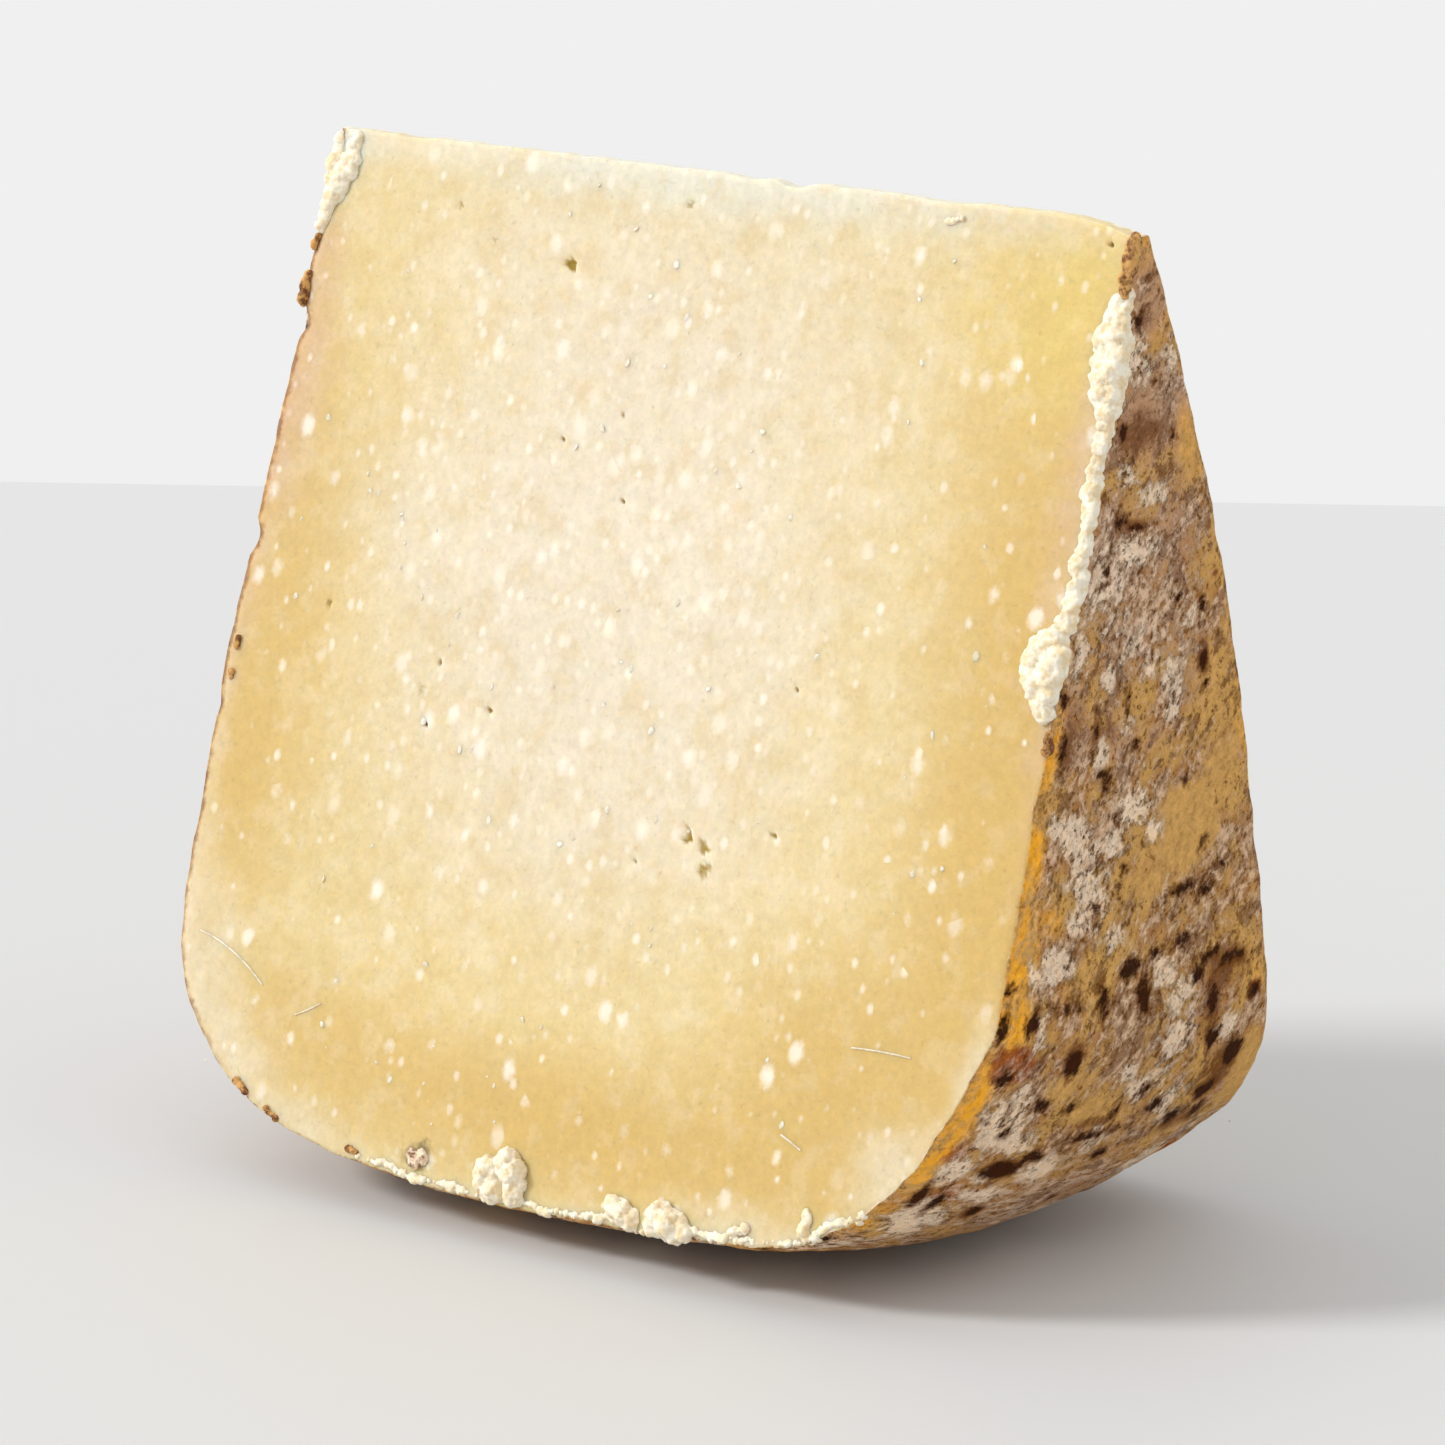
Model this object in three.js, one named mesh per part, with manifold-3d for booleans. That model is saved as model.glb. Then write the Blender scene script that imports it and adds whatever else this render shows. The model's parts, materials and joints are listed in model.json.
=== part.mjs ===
// A wedge of aged natural-rind cheese: one slice of a wheel, in one solid piece.
//
// Millimetres, +Z up. The slice stands on the wheel's rim with its thin edge, which lay on the wheel's
// axis, on top. The wheel's axis runs along X, the front cut faces -Y and the back cut faces +Y.
// The origin is on the resting face's level, under the middle of the slice's box.

import * as THREE from 'three';
import { mergeVertices } from 'three/addons/utils/BufferGeometryUtils.js';
import Module from 'manifold-3d';

// Driving dimensions, in millimetres and degrees
const WHEEL_RADIUS = 98.8; // from the wheel's axis to the crown of its rim
const SIDE_HALF_WIDTH = 49; // half of the wheel's thickness
const AXIS_HALF_WIDTH = 48; // the same at the axis, where the flat sides sink a little
const FRONT_ANGLE = 17.1; // from the upright middle plane to the front cut
const BACK_ANGLE = 16.1; // from the upright middle plane to the back cut
const TIP_WIDTH = 1.1; // width left along the thin edge, where the cuts just miss each other
const CUT_WANDER = 2.3; // how far the knife wandered from a flat plane on the back cut
const WANDER_LENGTH = 65; // depth of one half-wave of that wandering
const LEFT_SHOULDER_DEPTH = 23; // height of the soft shoulder between the left side and the rim
const RIGHT_SHOULDER_DEPTH = 25; // the same on the right, where the wheel is worn to a bevel
const REST_DEPTH = 0.35; // how much the soft rim has flattened under the slice's weight

// How finely the faceted solid follows the curves
const LAYERS = 12;
const SIDE_STEPS = 7;
const SHOULDER_STEPS = 14;
const RIM_STEPS = 6;

const CHEESE_COLOR = 0xf2dfb4;
const CHEESE_ROUGHNESS = 0.5;

const point = (x, depth) => new THREE.Vector2(x, depth);

// The wheel's section, as the corners that its curves pass through. x runs along the wheel's axis and
// depth runs outwards from it. From the front cut (t = 0) to the back cut (t = 1), the right shoulder
// turns from a worn bevel into a fuller round.
function sectionPoints(t) {
  const frontToBack = (front, back) => front.clone().lerp(back, t);

  const leftTop = point(-AXIS_HALF_WIDTH, 0);
  const leftShoulder = point(-SIDE_HALF_WIDTH, WHEEL_RADIUS - LEFT_SHOULDER_DEPTH);
  const crown = point(0, WHEEL_RADIUS);
  const bevelStart = point(0.53 * SIDE_HALF_WIDTH, WHEEL_RADIUS - 1.5);
  const rightShoulder = point(SIDE_HALF_WIDTH, WHEEL_RADIUS - RIGHT_SHOULDER_DEPTH);
  const rightTop = point(AXIS_HALF_WIDTH, 0);

  // The handles that pull each curve towards the corner it rounds
  const sideBelly = 0.4 * WHEEL_RADIUS;
  const leftCorner = point(-SIDE_HALF_WIDTH, WHEEL_RADIUS - 0.23 * LEFT_SHOULDER_DEPTH);
  const rimLeft = point(-0.67 * SIDE_HALF_WIDTH, WHEEL_RADIUS);
  const rimRight = point(0.2 * SIDE_HALF_WIDTH, WHEEL_RADIUS);
  const rimEnd = point(0.37 * SIDE_HALF_WIDTH, WHEEL_RADIUS - 0.5);
  const bevelTop = frontToBack(
    point(0.82 * SIDE_HALF_WIDTH, WHEEL_RADIUS - 0.13 * RIGHT_SHOULDER_DEPTH),
    point(0.89 * SIDE_HALF_WIDTH, WHEEL_RADIUS - 0.11 * RIGHT_SHOULDER_DEPTH),
  );
  const bevelFoot = frontToBack(
    point(0.9 * SIDE_HALF_WIDTH, WHEEL_RADIUS - 0.49 * RIGHT_SHOULDER_DEPTH),
    point(SIDE_HALF_WIDTH, WHEEL_RADIUS - 0.49 * RIGHT_SHOULDER_DEPTH),
  );

  const curves = [
    [new THREE.QuadraticBezierCurve(leftTop, point(-SIDE_HALF_WIDTH, sideBelly), leftShoulder), SIDE_STEPS],
    [new THREE.CubicBezierCurve(leftShoulder, leftCorner, rimLeft, crown), SHOULDER_STEPS],
    [new THREE.CubicBezierCurve(crown, rimRight, rimEnd, bevelStart), RIM_STEPS],
    [new THREE.CubicBezierCurve(bevelStart, bevelTop, bevelFoot, rightShoulder), SHOULDER_STEPS],
    [new THREE.QuadraticBezierCurve(rightShoulder, point(SIDE_HALF_WIDTH, sideBelly), rightTop), SIDE_STEPS],
  ];
  const points = [leftTop];
  for (const [curve, steps] of curves) {
    points.push(...curve.getPoints(steps).slice(1));
  }
  return points;
}

// Where a point of the section lies in space, on the layer a fraction t of the way to the back cut
function place(sectionPoint, t) {
  const angle = THREE.MathUtils.degToRad(THREE.MathUtils.lerp(FRONT_ANGLE, -BACK_ANGLE, t));
  const wander = CUT_WANDER * t * t * Math.sin((Math.PI * sectionPoint.y) / WANDER_LENGTH);
  return new THREE.Vector3(
    sectionPoint.x,
    TIP_WIDTH * t + wander - sectionPoint.y * Math.sin(angle),
    WHEEL_RADIUS - REST_DEPTH - sectionPoint.y * Math.cos(angle),
  );
}

// The slice before it settles: the section's layers joined side by side, with a fan over each cut
function sliceGeometry() {
  const positions = [];
  const triangles = [];
  const middleOfCut = point(0, WHEEL_RADIUS / 2);
  for (let layer = 0; layer <= LAYERS; layer += 1) {
    for (const sectionPoint of sectionPoints(layer / LAYERS)) {
      positions.push(...place(sectionPoint, layer / LAYERS));
    }
  }
  const count = positions.length / 3 / (LAYERS + 1);
  const frontMiddle = positions.length / 3;
  const backMiddle = frontMiddle + 1;
  positions.push(...place(middleOfCut, 0), ...place(middleOfCut, 1));

  const backLayer = LAYERS * count;
  for (let i = 0; i < count; i += 1) {
    const next = (i + 1) % count;
    for (let layer = 0; layer < LAYERS; layer += 1) {
      const near = layer * count;
      const far = near + count;
      triangles.push(near + i, far + i, near + next);
      triangles.push(far + i, far + next, near + next);
    }
    triangles.push(frontMiddle, i, next);
    triangles.push(backMiddle, backLayer + next, backLayer + i);
  }

  const geometry = new THREE.BufferGeometry();
  geometry.setAttribute('position', new THREE.Float32BufferAttribute(positions, 3));
  geometry.setIndex(triangles);
  return geometry;
}

// Everything below the resting face's level
function groundGeometry() {
  const side = 4 * WHEEL_RADIUS;
  const ground = new THREE.BoxGeometry(side, side, side);
  ground.translate(0, 0, -side / 2);
  ground.deleteAttribute('normal');
  ground.deleteAttribute('uv');
  return mergeVertices(ground);
}

const wasm = await Module();
wasm.setup();

function toSolid(geometry) {
  return new wasm.Manifold(new wasm.Mesh({
    numProp: 3,
    vertProperties: new Float32Array(geometry.getAttribute('position').array),
    triVerts: new Uint32Array(geometry.getIndex().array),
  }));
}

function toGeometry(solid) {
  const mesh = solid.getMesh();
  const geometry = new THREE.BufferGeometry();
  geometry.setAttribute('position', new THREE.Float32BufferAttribute(mesh.vertProperties, 3));
  geometry.setIndex(Array.from(mesh.triVerts));
  return geometry;
}

// Stands the settled slice with its origin under the middle of its box
function centred(geometry) {
  geometry.computeBoundingBox();
  const middle = geometry.boundingBox.getCenter(new THREE.Vector3());
  geometry.translate(-middle.x, -middle.y, 0);
  geometry.computeVertexNormals();
  return geometry;
}

const settled = toSolid(sliceGeometry()).subtract(toSolid(groundGeometry()));

const cheese = new THREE.Mesh(
  centred(toGeometry(settled)),
  new THREE.MeshStandardMaterial({ color: CHEESE_COLOR, roughness: CHEESE_ROUGHNESS, metalness: 0 }),
);
cheese.name = 'cheese_wedge';

const part = new THREE.Group();
part.add(cheese);

export default part;
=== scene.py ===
"""A wedge of aged natural-rind cheese, standing on its rind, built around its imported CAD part.

Everything is in metres in the part's own frame: +Z up, the wheel's axis along X at the thin top edge,
the front cut towards -Y. Places on a cut are given in millimetres as (x, depth): x along the wheel's
axis from its middle, and depth outwards from the axis, so 0 is the thin edge and about 99 the rim.
"""

import json
import math
import random

import bpy
import numpy as np
from bpy.props import FloatProperty, FloatVectorProperty, IntProperty, PointerProperty
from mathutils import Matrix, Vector, kdtree, noise

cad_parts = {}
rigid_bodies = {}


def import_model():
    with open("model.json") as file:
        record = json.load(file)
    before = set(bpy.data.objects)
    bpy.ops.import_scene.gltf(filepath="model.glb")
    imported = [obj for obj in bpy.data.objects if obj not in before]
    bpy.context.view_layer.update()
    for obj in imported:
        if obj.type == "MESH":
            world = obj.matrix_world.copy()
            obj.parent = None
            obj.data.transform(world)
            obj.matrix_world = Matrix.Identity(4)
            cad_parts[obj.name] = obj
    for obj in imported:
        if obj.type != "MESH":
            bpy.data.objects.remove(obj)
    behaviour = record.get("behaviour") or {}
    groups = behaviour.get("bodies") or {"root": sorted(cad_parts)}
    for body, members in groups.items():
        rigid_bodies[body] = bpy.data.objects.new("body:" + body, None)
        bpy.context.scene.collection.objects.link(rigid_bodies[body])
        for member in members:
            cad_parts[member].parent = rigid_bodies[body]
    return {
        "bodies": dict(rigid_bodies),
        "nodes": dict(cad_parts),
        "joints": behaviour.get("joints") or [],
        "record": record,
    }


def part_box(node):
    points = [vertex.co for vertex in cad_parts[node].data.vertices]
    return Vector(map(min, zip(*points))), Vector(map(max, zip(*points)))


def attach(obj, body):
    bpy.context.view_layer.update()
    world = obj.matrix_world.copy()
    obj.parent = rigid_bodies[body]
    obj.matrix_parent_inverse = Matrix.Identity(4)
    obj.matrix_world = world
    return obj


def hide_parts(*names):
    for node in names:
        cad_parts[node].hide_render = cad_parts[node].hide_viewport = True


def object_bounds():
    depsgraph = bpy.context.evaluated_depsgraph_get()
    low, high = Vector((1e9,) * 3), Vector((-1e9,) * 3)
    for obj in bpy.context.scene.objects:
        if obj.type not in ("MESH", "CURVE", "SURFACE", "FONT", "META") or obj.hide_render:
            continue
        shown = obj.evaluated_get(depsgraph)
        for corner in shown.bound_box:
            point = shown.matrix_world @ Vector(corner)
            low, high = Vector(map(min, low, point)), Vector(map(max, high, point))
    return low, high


bl_info = {
    "name": "Cheese Wedge",
    "version": (1, 0, 0),
    "blender": (4, 5, 0),
    "location": "3D View > Sidebar > Cheese",
    "description": "Builds a wedge of aged natural-rind cheese",
    "category": "Add Mesh",
}

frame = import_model()
CAD_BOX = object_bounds()
WEDGE_LOW, WEDGE_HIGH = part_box("cheese_wedge")

BODY = "root"
CAD_NODE = "cheese_wedge"
MM = 0.001
REST_DEPTH = 0.35 * MM  # how much the soft rim has flattened where it stands
HALF_WIDTH = (WEDGE_HIGH.x - WEDGE_LOW.x) / 2
WHEEL_RADIUS = WEDGE_HIGH.z + REST_DEPTH
RADIUS_MM = WHEEL_RADIUS / MM
WIDTH_MM = HALF_WIDTH / MM

# Seeds of everything that is scattered
SEEDS = {
    "back holes": 5, "crystals": 31, "crumbs": 41, "nubs": 43, "mould": 47, "rind spots": 59,
    "rind patches": 60}


# ---------------------------------------------------------------------------------------------------
# Sizes and colours that a user would change
# ---------------------------------------------------------------------------------------------------

def length(name, description, default):
    return FloatProperty(name=name, description=description, default=default, unit="LENGTH", precision=5)


def angle(name, description, degrees):
    return FloatProperty(
        name=name, description=description, default=math.radians(degrees), subtype="ANGLE")


def colour(name, description, red, green, blue):
    return FloatVectorProperty(
        name=name, description=description, size=3, min=0.0, max=1.0, subtype="COLOR_GAMMA",
        default=(red / 255, green / 255, blue / 255))


class SliceSizes(bpy.types.PropertyGroup):
    """The slice's own shape, as its maker would state it"""

    front_angle: angle("Front angle", "From the upright middle plane to the front cut", 17.1)
    back_angle: angle("Back angle", "From the upright middle plane to the back cut", 16.1)
    tip_width: length("Tip width", "Width left along the thin top edge", 1.1 * MM)
    wander: length("Wander", "How far the knife wandered on the back cut", 2.3 * MM)
    wander_length: length("Wander length", "Depth of one half-wave of that wandering", 65 * MM)
    left_shoulder: length("Left shoulder", "Height of the soft left shoulder", 23 * MM)
    right_shoulder: length("Right shoulder", "Height of the worn right shoulder", 25 * MM)
    corner_sag: length("Corner sag", "How far the thin edge sinks towards its right end", 2.1 * MM)
    rind_relief: length("Rind relief", "Height of the rind's lumps", 0.55 * MM)
    paste_relief: length("Paste relief", "Height of the soft waves on the cuts", 0.22 * MM)


class PasteLook(bpy.types.PropertyGroup):
    """The cut paste"""

    butter: colour("Butter", "Most of the paste", 214, 194, 145)
    cream: colour("Cream", "Middle of the wheel", 218, 206, 183)
    golden: colour("Golden", "Drier paste near the rind", 203, 173, 109)
    lemon: colour("Lemon", "Clear yellow paste in the top corner", 212, 189, 120)
    blush: colour("Blush", "Tan paste right behind the rind", 206, 177, 140)
    pale: colour("Pale", "Waxy pale paste along the lower edges", 214, 199, 166)
    glassy: colour("Glassy", "Thin translucent paste along the top edge", 212, 209, 192)
    hole_colour_and_shade: colour("Hollow", "Inside the small holes", 168, 138, 62)
    # Yellow of the holes' insides, partly painted shade: the deeper a hole, the more of it
    stain: colour("Stain", "Grey spot of mould by the lower edge", 122, 104, 78)
    dot: colour("Dot", "Soft pale dots and clouds in the paste", 233, 225, 209)
    crystal: colour("Crystal", "Ripening crystals", 236, 230, 212)
    crystal_count: IntProperty(name="Crystals", description="Crystals on each cut", default=240)
    crystal_size: length("Crystal size", "Diameter of the larger crystals", 0.9 * MM)


class RindLook(bpy.types.PropertyGroup):
    """The natural rind"""

    ochre: colour("Ochre", "Ground colour", 208, 160, 92)
    tan: colour("Tan", "Second ground colour", 180, 126, 72)
    dusk: colour("Dusk", "Grey-brown bloom over the upper side", 188, 146, 116)
    straw: colour("Straw", "Clean yellow patches", 210, 162, 94)
    umber: colour("Umber", "Brown mottling", 108, 60, 18)
    spot: colour("Spot", "Dark elongated spots", 56, 24, 4)
    mould: colour("Mould", "Grey-white mould", 244, 220, 192)
    amber: colour("Amber", "Orange rind beside the cuts", 255, 178, 46)
    russet: colour("Russet", "Reddish brown patches", 158, 76, 24)
    crumb: colour("Crumb", "Cream lumps smeared from the rind by the knife", 242, 234, 214)
    # Painted shade: a darker cream that noise lays where the lumps' hollows would be
    crumb_painted_shade: colour("Crumb shade", "Hollows of the cream lumps", 230, 209, 168)


class StageLook(bpy.types.PropertyGroup):
    """The plain studio around the wedge"""

    view_azimuth: angle("View azimuth", "How far the camera stands to the right of the front", 39.0)
    view_elevation: angle("View elevation", "How far the camera looks down", 13.1)
    view_distance: length("View distance", "Camera to the wedge", 650 * MM)
    lens: FloatProperty(name="Lens", description="Focal length", default=169.9, subtype="DISTANCE_CAMERA")
    sky: colour("Sky", "Surroundings", 255, 255, 255)
    sky_strength: FloatProperty(
        name="Sky strength", description="Brightness of the surroundings", default=0.87)
    key: colour("Key", "Main light", 255, 255, 255)
    key_power: FloatProperty(name="Key power", description="Strength of the main light", default=2.2)
    key_softness: angle("Key softness", "How wide the main light looks from the table", 13)
    key_bearing: angle("Key bearing", "Direction of the main light seen from above", -133)
    key_height: angle("Key height", "How high the main light stands", 34)
    floor: colour("Floor", "Table top", 206, 206, 206)
    table_reach: length("Table reach", "From the wedge to the table's far edge", 342 * MM)
    horizon_turn: angle("Horizon turn", "How far the table's far edge turns from the view", -5)


# ---------------------------------------------------------------------------------------------------
# The slice's shape
# ---------------------------------------------------------------------------------------------------

ACROSS = 164  # mesh steps along the wheel's axis
DOWN = 156  # mesh steps from the thin edge to the rim
THROUGH = 70  # mesh steps from the front cut to the back cut
CORNER = 0.335  # share of the section's line where a side ends and the rim begins
FRONT, BACK = 0, 1

# How strongly mesh steps crowd towards the ends of a line, from 0 to 1
OUTLINE_CROWDING = 0.12
ACROSS_CROWDING = 0.35
DOWN_CROWDING = 0.3
THROUGH_CROWDING = 0.45

# All in millimetres unless they say otherwise
END_INSET = 1.0  # the thin edge's ends lie this far inside the wedge's sides
RELIEF_FADE = 5.0  # depth over which the rind's relief grows from nothing
WORN_BACK = 0.22  # how far the rind is worn back where it meets a cut
WORN_REACH = 0.9  # distance from the cut over which it is
BITE_REACH = 0.06  # share of the way to the back cut that a bite goes
SAG_START, SAG_END = 11, 3  # the sag runs from so far before the right end to so far past it
EDGE_ROUGHNESS, EDGE_ROUGH_LENGTH = 0.12, 2.3  # of the thin edge
GATHER_REACH = 3.2  # in hole radii, how far around a hole the mesh is drawn together
GATHER_LEAST = 0.7  # smallest radius that this is reckoned with
GATHER_PULL = 0.5  # share of the way to the hole's middle
HOLE_OVAL = 1.35  # how many times longer than wide a hole is
HOLE_LOBES = ((3, 0.22), (5, 0.12))  # how many bulges a hole's outline has, and how strong they are
HOLE_WALL = (0.5, 1.4)  # shares of its radius between which a hole's wall rises
# A flat hole gets some of the hole colour, and each millimetre of depth adds more as painted shade
HOLE_TINT, HOLE_SHADE_PER_MM = 0.3, 1.6  # colour of a flat hole, and more for each millimetre of depth
SAG_CURVE = 1.5  # how suddenly the sag sets in
SAG_BLEND = 12  # depth over which the right side is fitted to the sagged end

# Holes in the front cut: (x, depth, radius, how deep), in millimetres
FRONT_HOLES = (
    (-16.0, 10.4, 0.75, 0.5), (-30.9, 6.1, 0.45, 0.15), (-25.8, 9.0, 0.5, 0.1), (-3.0, 3.3, 0.6, 0.15),
    (-13.3, 26.8, 0.28, 0.5), (-4.7, 31.7, 0.28, 0.5), (-6.6, 23.6, 0.35, 0.25), (-3.2, 22.5, 0.3, 0.15),
    (-38.1, 46.1, 0.5, 0.25), (-23.0, 50.0, 0.35, 0.4), (-23.4, 55.8, 0.3, 0.5), (-15.9, 53.4, 0.38, 0.6),
    (10.3, 61.6, 0.65, 0.6), (12.4, 62.3, 0.8, 0.3), (12.9, 64.3, 0.9, 0.25), (20.1, 59.9, 0.35, 0.4),
    (4.7, 64.7, 0.25, 0.3), (19.8, 46.4, 0.25, 0.4), (45.2, 2.2, 0.3, 0.5), (-24.6, 52.6, 0.8, 0.1),
)
BACK_HOLES = 14
BACK_HOLE_RANGES = ((-40, 40), (8, 88), (0.25, 0.9), (0.1, 0.6))  # from and to, of the same four
# Small nicks in the thin top edge: (x, half width, drop)
EDGE_NICKS = ((8.6, 1.6, 0.55), (3.0, 2.4, 0.2), (26.0, 3.0, 0.25), (-38.5, 2.0, 0.2))
# Where the soft rind bulges beyond the plain section: (x, depth, reach, how far), in millimetres
BULGES = ((-49, 56, 24, 1.2), (-28, 96, 17, 0.8), (-49, 15, 3.5, 0.5))
# Bites out of the rind beside the front cut: (x, depth, radius, how deep)
RIND_BITES = ((-49, 19.2, 1.4, 0.9), (-49, 41.0, 1.5, 0.9), (-49, 57.5, 1.2, 0.5), (-38, 94, 1.0, 0.5))


def bezier(*corners, steps=24):
    """Points on the Bezier curve through the first and last corner"""
    share = np.linspace(0.0, 1.0, steps + 1)[:, None]
    points = [np.asarray(corner, float) for corner in corners]
    while len(points) > 1:
        points = [(1 - share) * a + share * b for a, b in zip(points, points[1:])]
    return points[0]


def resampled(line, shares):
    """Points at the given shares of a polyline's length"""
    lengths = np.linalg.norm(np.diff(line, axis=0), axis=1)
    along = np.concatenate([[0.0], np.cumsum(lengths)]) / lengths.sum()
    return np.stack([np.interp(shares, along, line[:, axis]) for axis in range(2)], axis=1)


def crowded(steps, amount):
    """Shares from 0 to 1, closer together towards both ends"""
    even = np.linspace(0.0, 1.0, steps + 1)
    return (1 - amount) * even + amount * (1 - np.cos(np.pi * even)) / 2


def section(sizes, share):
    """The wheel's section in millimetres (x, depth), as one line down the left side, along the rim and
    up the right side. From the front cut (share 0) to the back cut (share 1) the right shoulder turns
    from a worn bevel into a fuller round."""
    left = sizes.left_shoulder / MM
    right = sizes.right_shoulder / MM
    axis_half = WIDTH_MM - END_INSET

    def front_to_back(front, back):
        return np.asarray(front, float) * (1 - share) + np.asarray(back, float) * share

    left_shoulder = (-WIDTH_MM, RADIUS_MM - left)
    right_shoulder = (WIDTH_MM, RADIUS_MM - right)
    crown = (0.0, RADIUS_MM)
    bevel_start = (0.53 * WIDTH_MM, RADIUS_MM - 1.5)
    bevel_top = front_to_back(
        (0.82 * WIDTH_MM, RADIUS_MM - 0.13 * right), (0.89 * WIDTH_MM, RADIUS_MM - 0.11 * right))
    bevel_foot = front_to_back(
        (0.9 * WIDTH_MM, RADIUS_MM - 0.49 * right), (WIDTH_MM, RADIUS_MM - 0.49 * right))
    belly = 0.4 * RADIUS_MM
    pieces = (
        bezier((-axis_half, 0.0), (-WIDTH_MM, belly), left_shoulder),
        bezier(left_shoulder, (-WIDTH_MM, RADIUS_MM - 0.23 * left), (-0.67 * WIDTH_MM, RADIUS_MM), crown),
        bezier(crown, (0.2 * WIDTH_MM, RADIUS_MM), (0.37 * WIDTH_MM, RADIUS_MM - 0.5), bevel_start),
        bezier(bevel_start, bevel_top, bevel_foot, right_shoulder),
        bezier(right_shoulder, (WIDTH_MM, belly), (axis_half, 0.0)),
    )
    return np.concatenate([pieces[0]] + [piece[1:] for piece in pieces[1:]])


def placed(sizes, flat, share):
    """Section places (x, depth) in millimetres, as points in metres on the layer at that share"""
    x = flat[..., 0] * MM
    depth = flat[..., 1] * MM
    lean = sizes.front_angle * (1 - share) - sizes.back_angle * share
    wander = sizes.wander * share * share * np.sin(np.pi * depth / sizes.wander_length)
    y = sizes.tip_width * share + wander - depth * math.sin(lean)
    z = WHEEL_RADIUS - REST_DEPTH - depth * math.cos(lean)
    return np.stack([x, y + centre_shift(sizes), z], axis=-1)


def centre_shift(sizes):
    """Moves the slice so that its front lower edge meets the CAD part's"""
    return WEDGE_LOW.y + WHEEL_RADIUS * math.sin(sizes.front_angle)


def cut_normal(sizes, side):
    """Outward direction of a cut"""
    if side == FRONT:
        return Vector((0.0, -math.cos(sizes.front_angle), math.sin(sizes.front_angle)))
    return Vector((0.0, math.cos(sizes.back_angle), math.sin(sizes.back_angle)))


def ease(value, low, high):
    """0 below low, 1 above high, smooth between"""
    share = np.clip((np.asarray(value, float) - low) / (high - low), 0.0, 1.0)
    return share * share * (3 - 2 * share)


def waves(points, size, seed=0.0):
    """Smooth noise from about -1 to 1 at each point in metres, with features of the given size"""
    scale = 1.0 / size
    offset = Vector((seed * 7.3, seed * 3.1, seed * 5.7))
    return np.array([noise.noise(Vector(point) * scale + offset) for point in points])


# Each wave of a surface: its size, its own number, and its share of the whole relief
RIND_WAVES = ((11 * MM, 1, 0.45), (3.4 * MM, 2, 0.42), (1.3 * MM, 3, 0.2))
RIND_DENTS = (2.2 * MM, 4, 0.7)
DENT_START = 0.35  # height of its wave above which a dent begins
CUT_SWELL = (24 * MM, 11, 1.1)
CUT_DRAG = (2.6 * MM, 12, 0.16)
CUT_CURD = (1.5 * MM, 13, 0.14)
DRAG_SQUEEZE = 0.4  # a step down counts only this much, which draws the knife's drag marks out


def rind_height(sizes, points):
    """How far the rind stands out at each point in metres, in millimetres"""
    height = sum(share * waves(points, size, number) for size, number, share in RIND_WAVES)
    size, number, share = RIND_DENTS
    height = height - share * np.maximum(0.0, waves(points, size, number) - DENT_START)
    return height * sizes.rind_relief / MM


def outline_normals(line):
    """Outward directions along the section's line"""
    run = np.gradient(line, axis=0)
    normals = np.stack([-run[:, 1], run[:, 0]], axis=1)
    normals /= np.linalg.norm(normals, axis=1)[:, None]
    outward = line - np.array([0.0, RADIUS_MM / 2])
    normals[(normals * outward).sum(axis=1) < 0] *= -1
    return normals


def rough_outline(sizes, share):
    """The section's line with the rind's relief on it"""
    line = resampled(section(sizes, share), crowded(2 * DOWN + ACROSS, OUTLINE_CROWDING))
    normals = outline_normals(line)
    spots = placed(sizes, line, share)
    height = rind_height(sizes, spots)
    fade = ease(line[:, 1], 0.0, RELIEF_FADE)
    to_cut = min(share, 1 - share) * thickness(sizes, line[:, 1])
    worn = WORN_BACK * (1 - ease(to_cut, 0.0, WORN_REACH))
    for x, depth, reach, out in BULGES:
        away = np.linalg.norm(line - np.array([x, depth]), axis=1)
        height = height + out * np.exp(-(away / reach) ** 2)
    line = line + normals * (height * fade - worn)[:, None]
    if share < BITE_REACH:
        for x, depth, radius, deep in RIND_BITES:
            near = np.linalg.norm(line - np.array([x, depth]), axis=1)
            bite = deep * np.exp(-(near / radius) ** 4) * (1 - share / BITE_REACH)
            line = line - normals * bite[:, None]
    return line


def thickness(sizes, depth):
    """Millimetres from cut to cut at that depth"""
    return depth * (sizes.front_angle + sizes.back_angle) + sizes.tip_width / MM


def top_edge(sizes, left, right, shares):
    """The thin edge from its left end to its right end: straight, sinking at the right, with nicks"""
    x = left[0] + (right[0] - left[0]) * shares
    sag = sizes.corner_sag / MM * ease(x, WIDTH_MM - SAG_START, WIDTH_MM + SAG_END) ** SAG_CURVE
    depth = left[1] + (right[1] - left[1]) * shares + sag
    for middle, half, drop in EDGE_NICKS:
        depth = depth + drop * np.exp(-((x - middle) / half) ** 4)
    rough = [EDGE_ROUGHNESS * noise.noise(Vector((value / EDGE_ROUGH_LENGTH, 0.0, 4.0))) for value in x]
    return np.stack([x, depth + np.array(rough)], axis=1)


def filled_plane(sizes, outline, across, down):
    """A whole layer of the lattice, blended between its four edges"""
    left = resampled(outline, CORNER * down)
    right = resampled(outline, 1 - CORNER * down)
    rim = resampled(outline, CORNER + (1 - 2 * CORNER) * across)
    top = top_edge(sizes, outline[0], outline[-1], across)
    top[0] = left[0]
    right = right + (top[-1] - right[0]) * (1 - ease(right[:, 1], 0, SAG_BLEND))[:, None]
    a = across[None, :, None]
    b = down[:, None, None]
    ruled = (1 - b) * top[None] + b * rim[None] + (1 - a) * left[:, None] + a * right[:, None]
    corners = (
        (1 - a) * (1 - b) * top[0] + a * (1 - b) * top[-1] + (1 - a) * b * rim[0] + a * b * rim[-1])
    return ruled - corners


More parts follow.
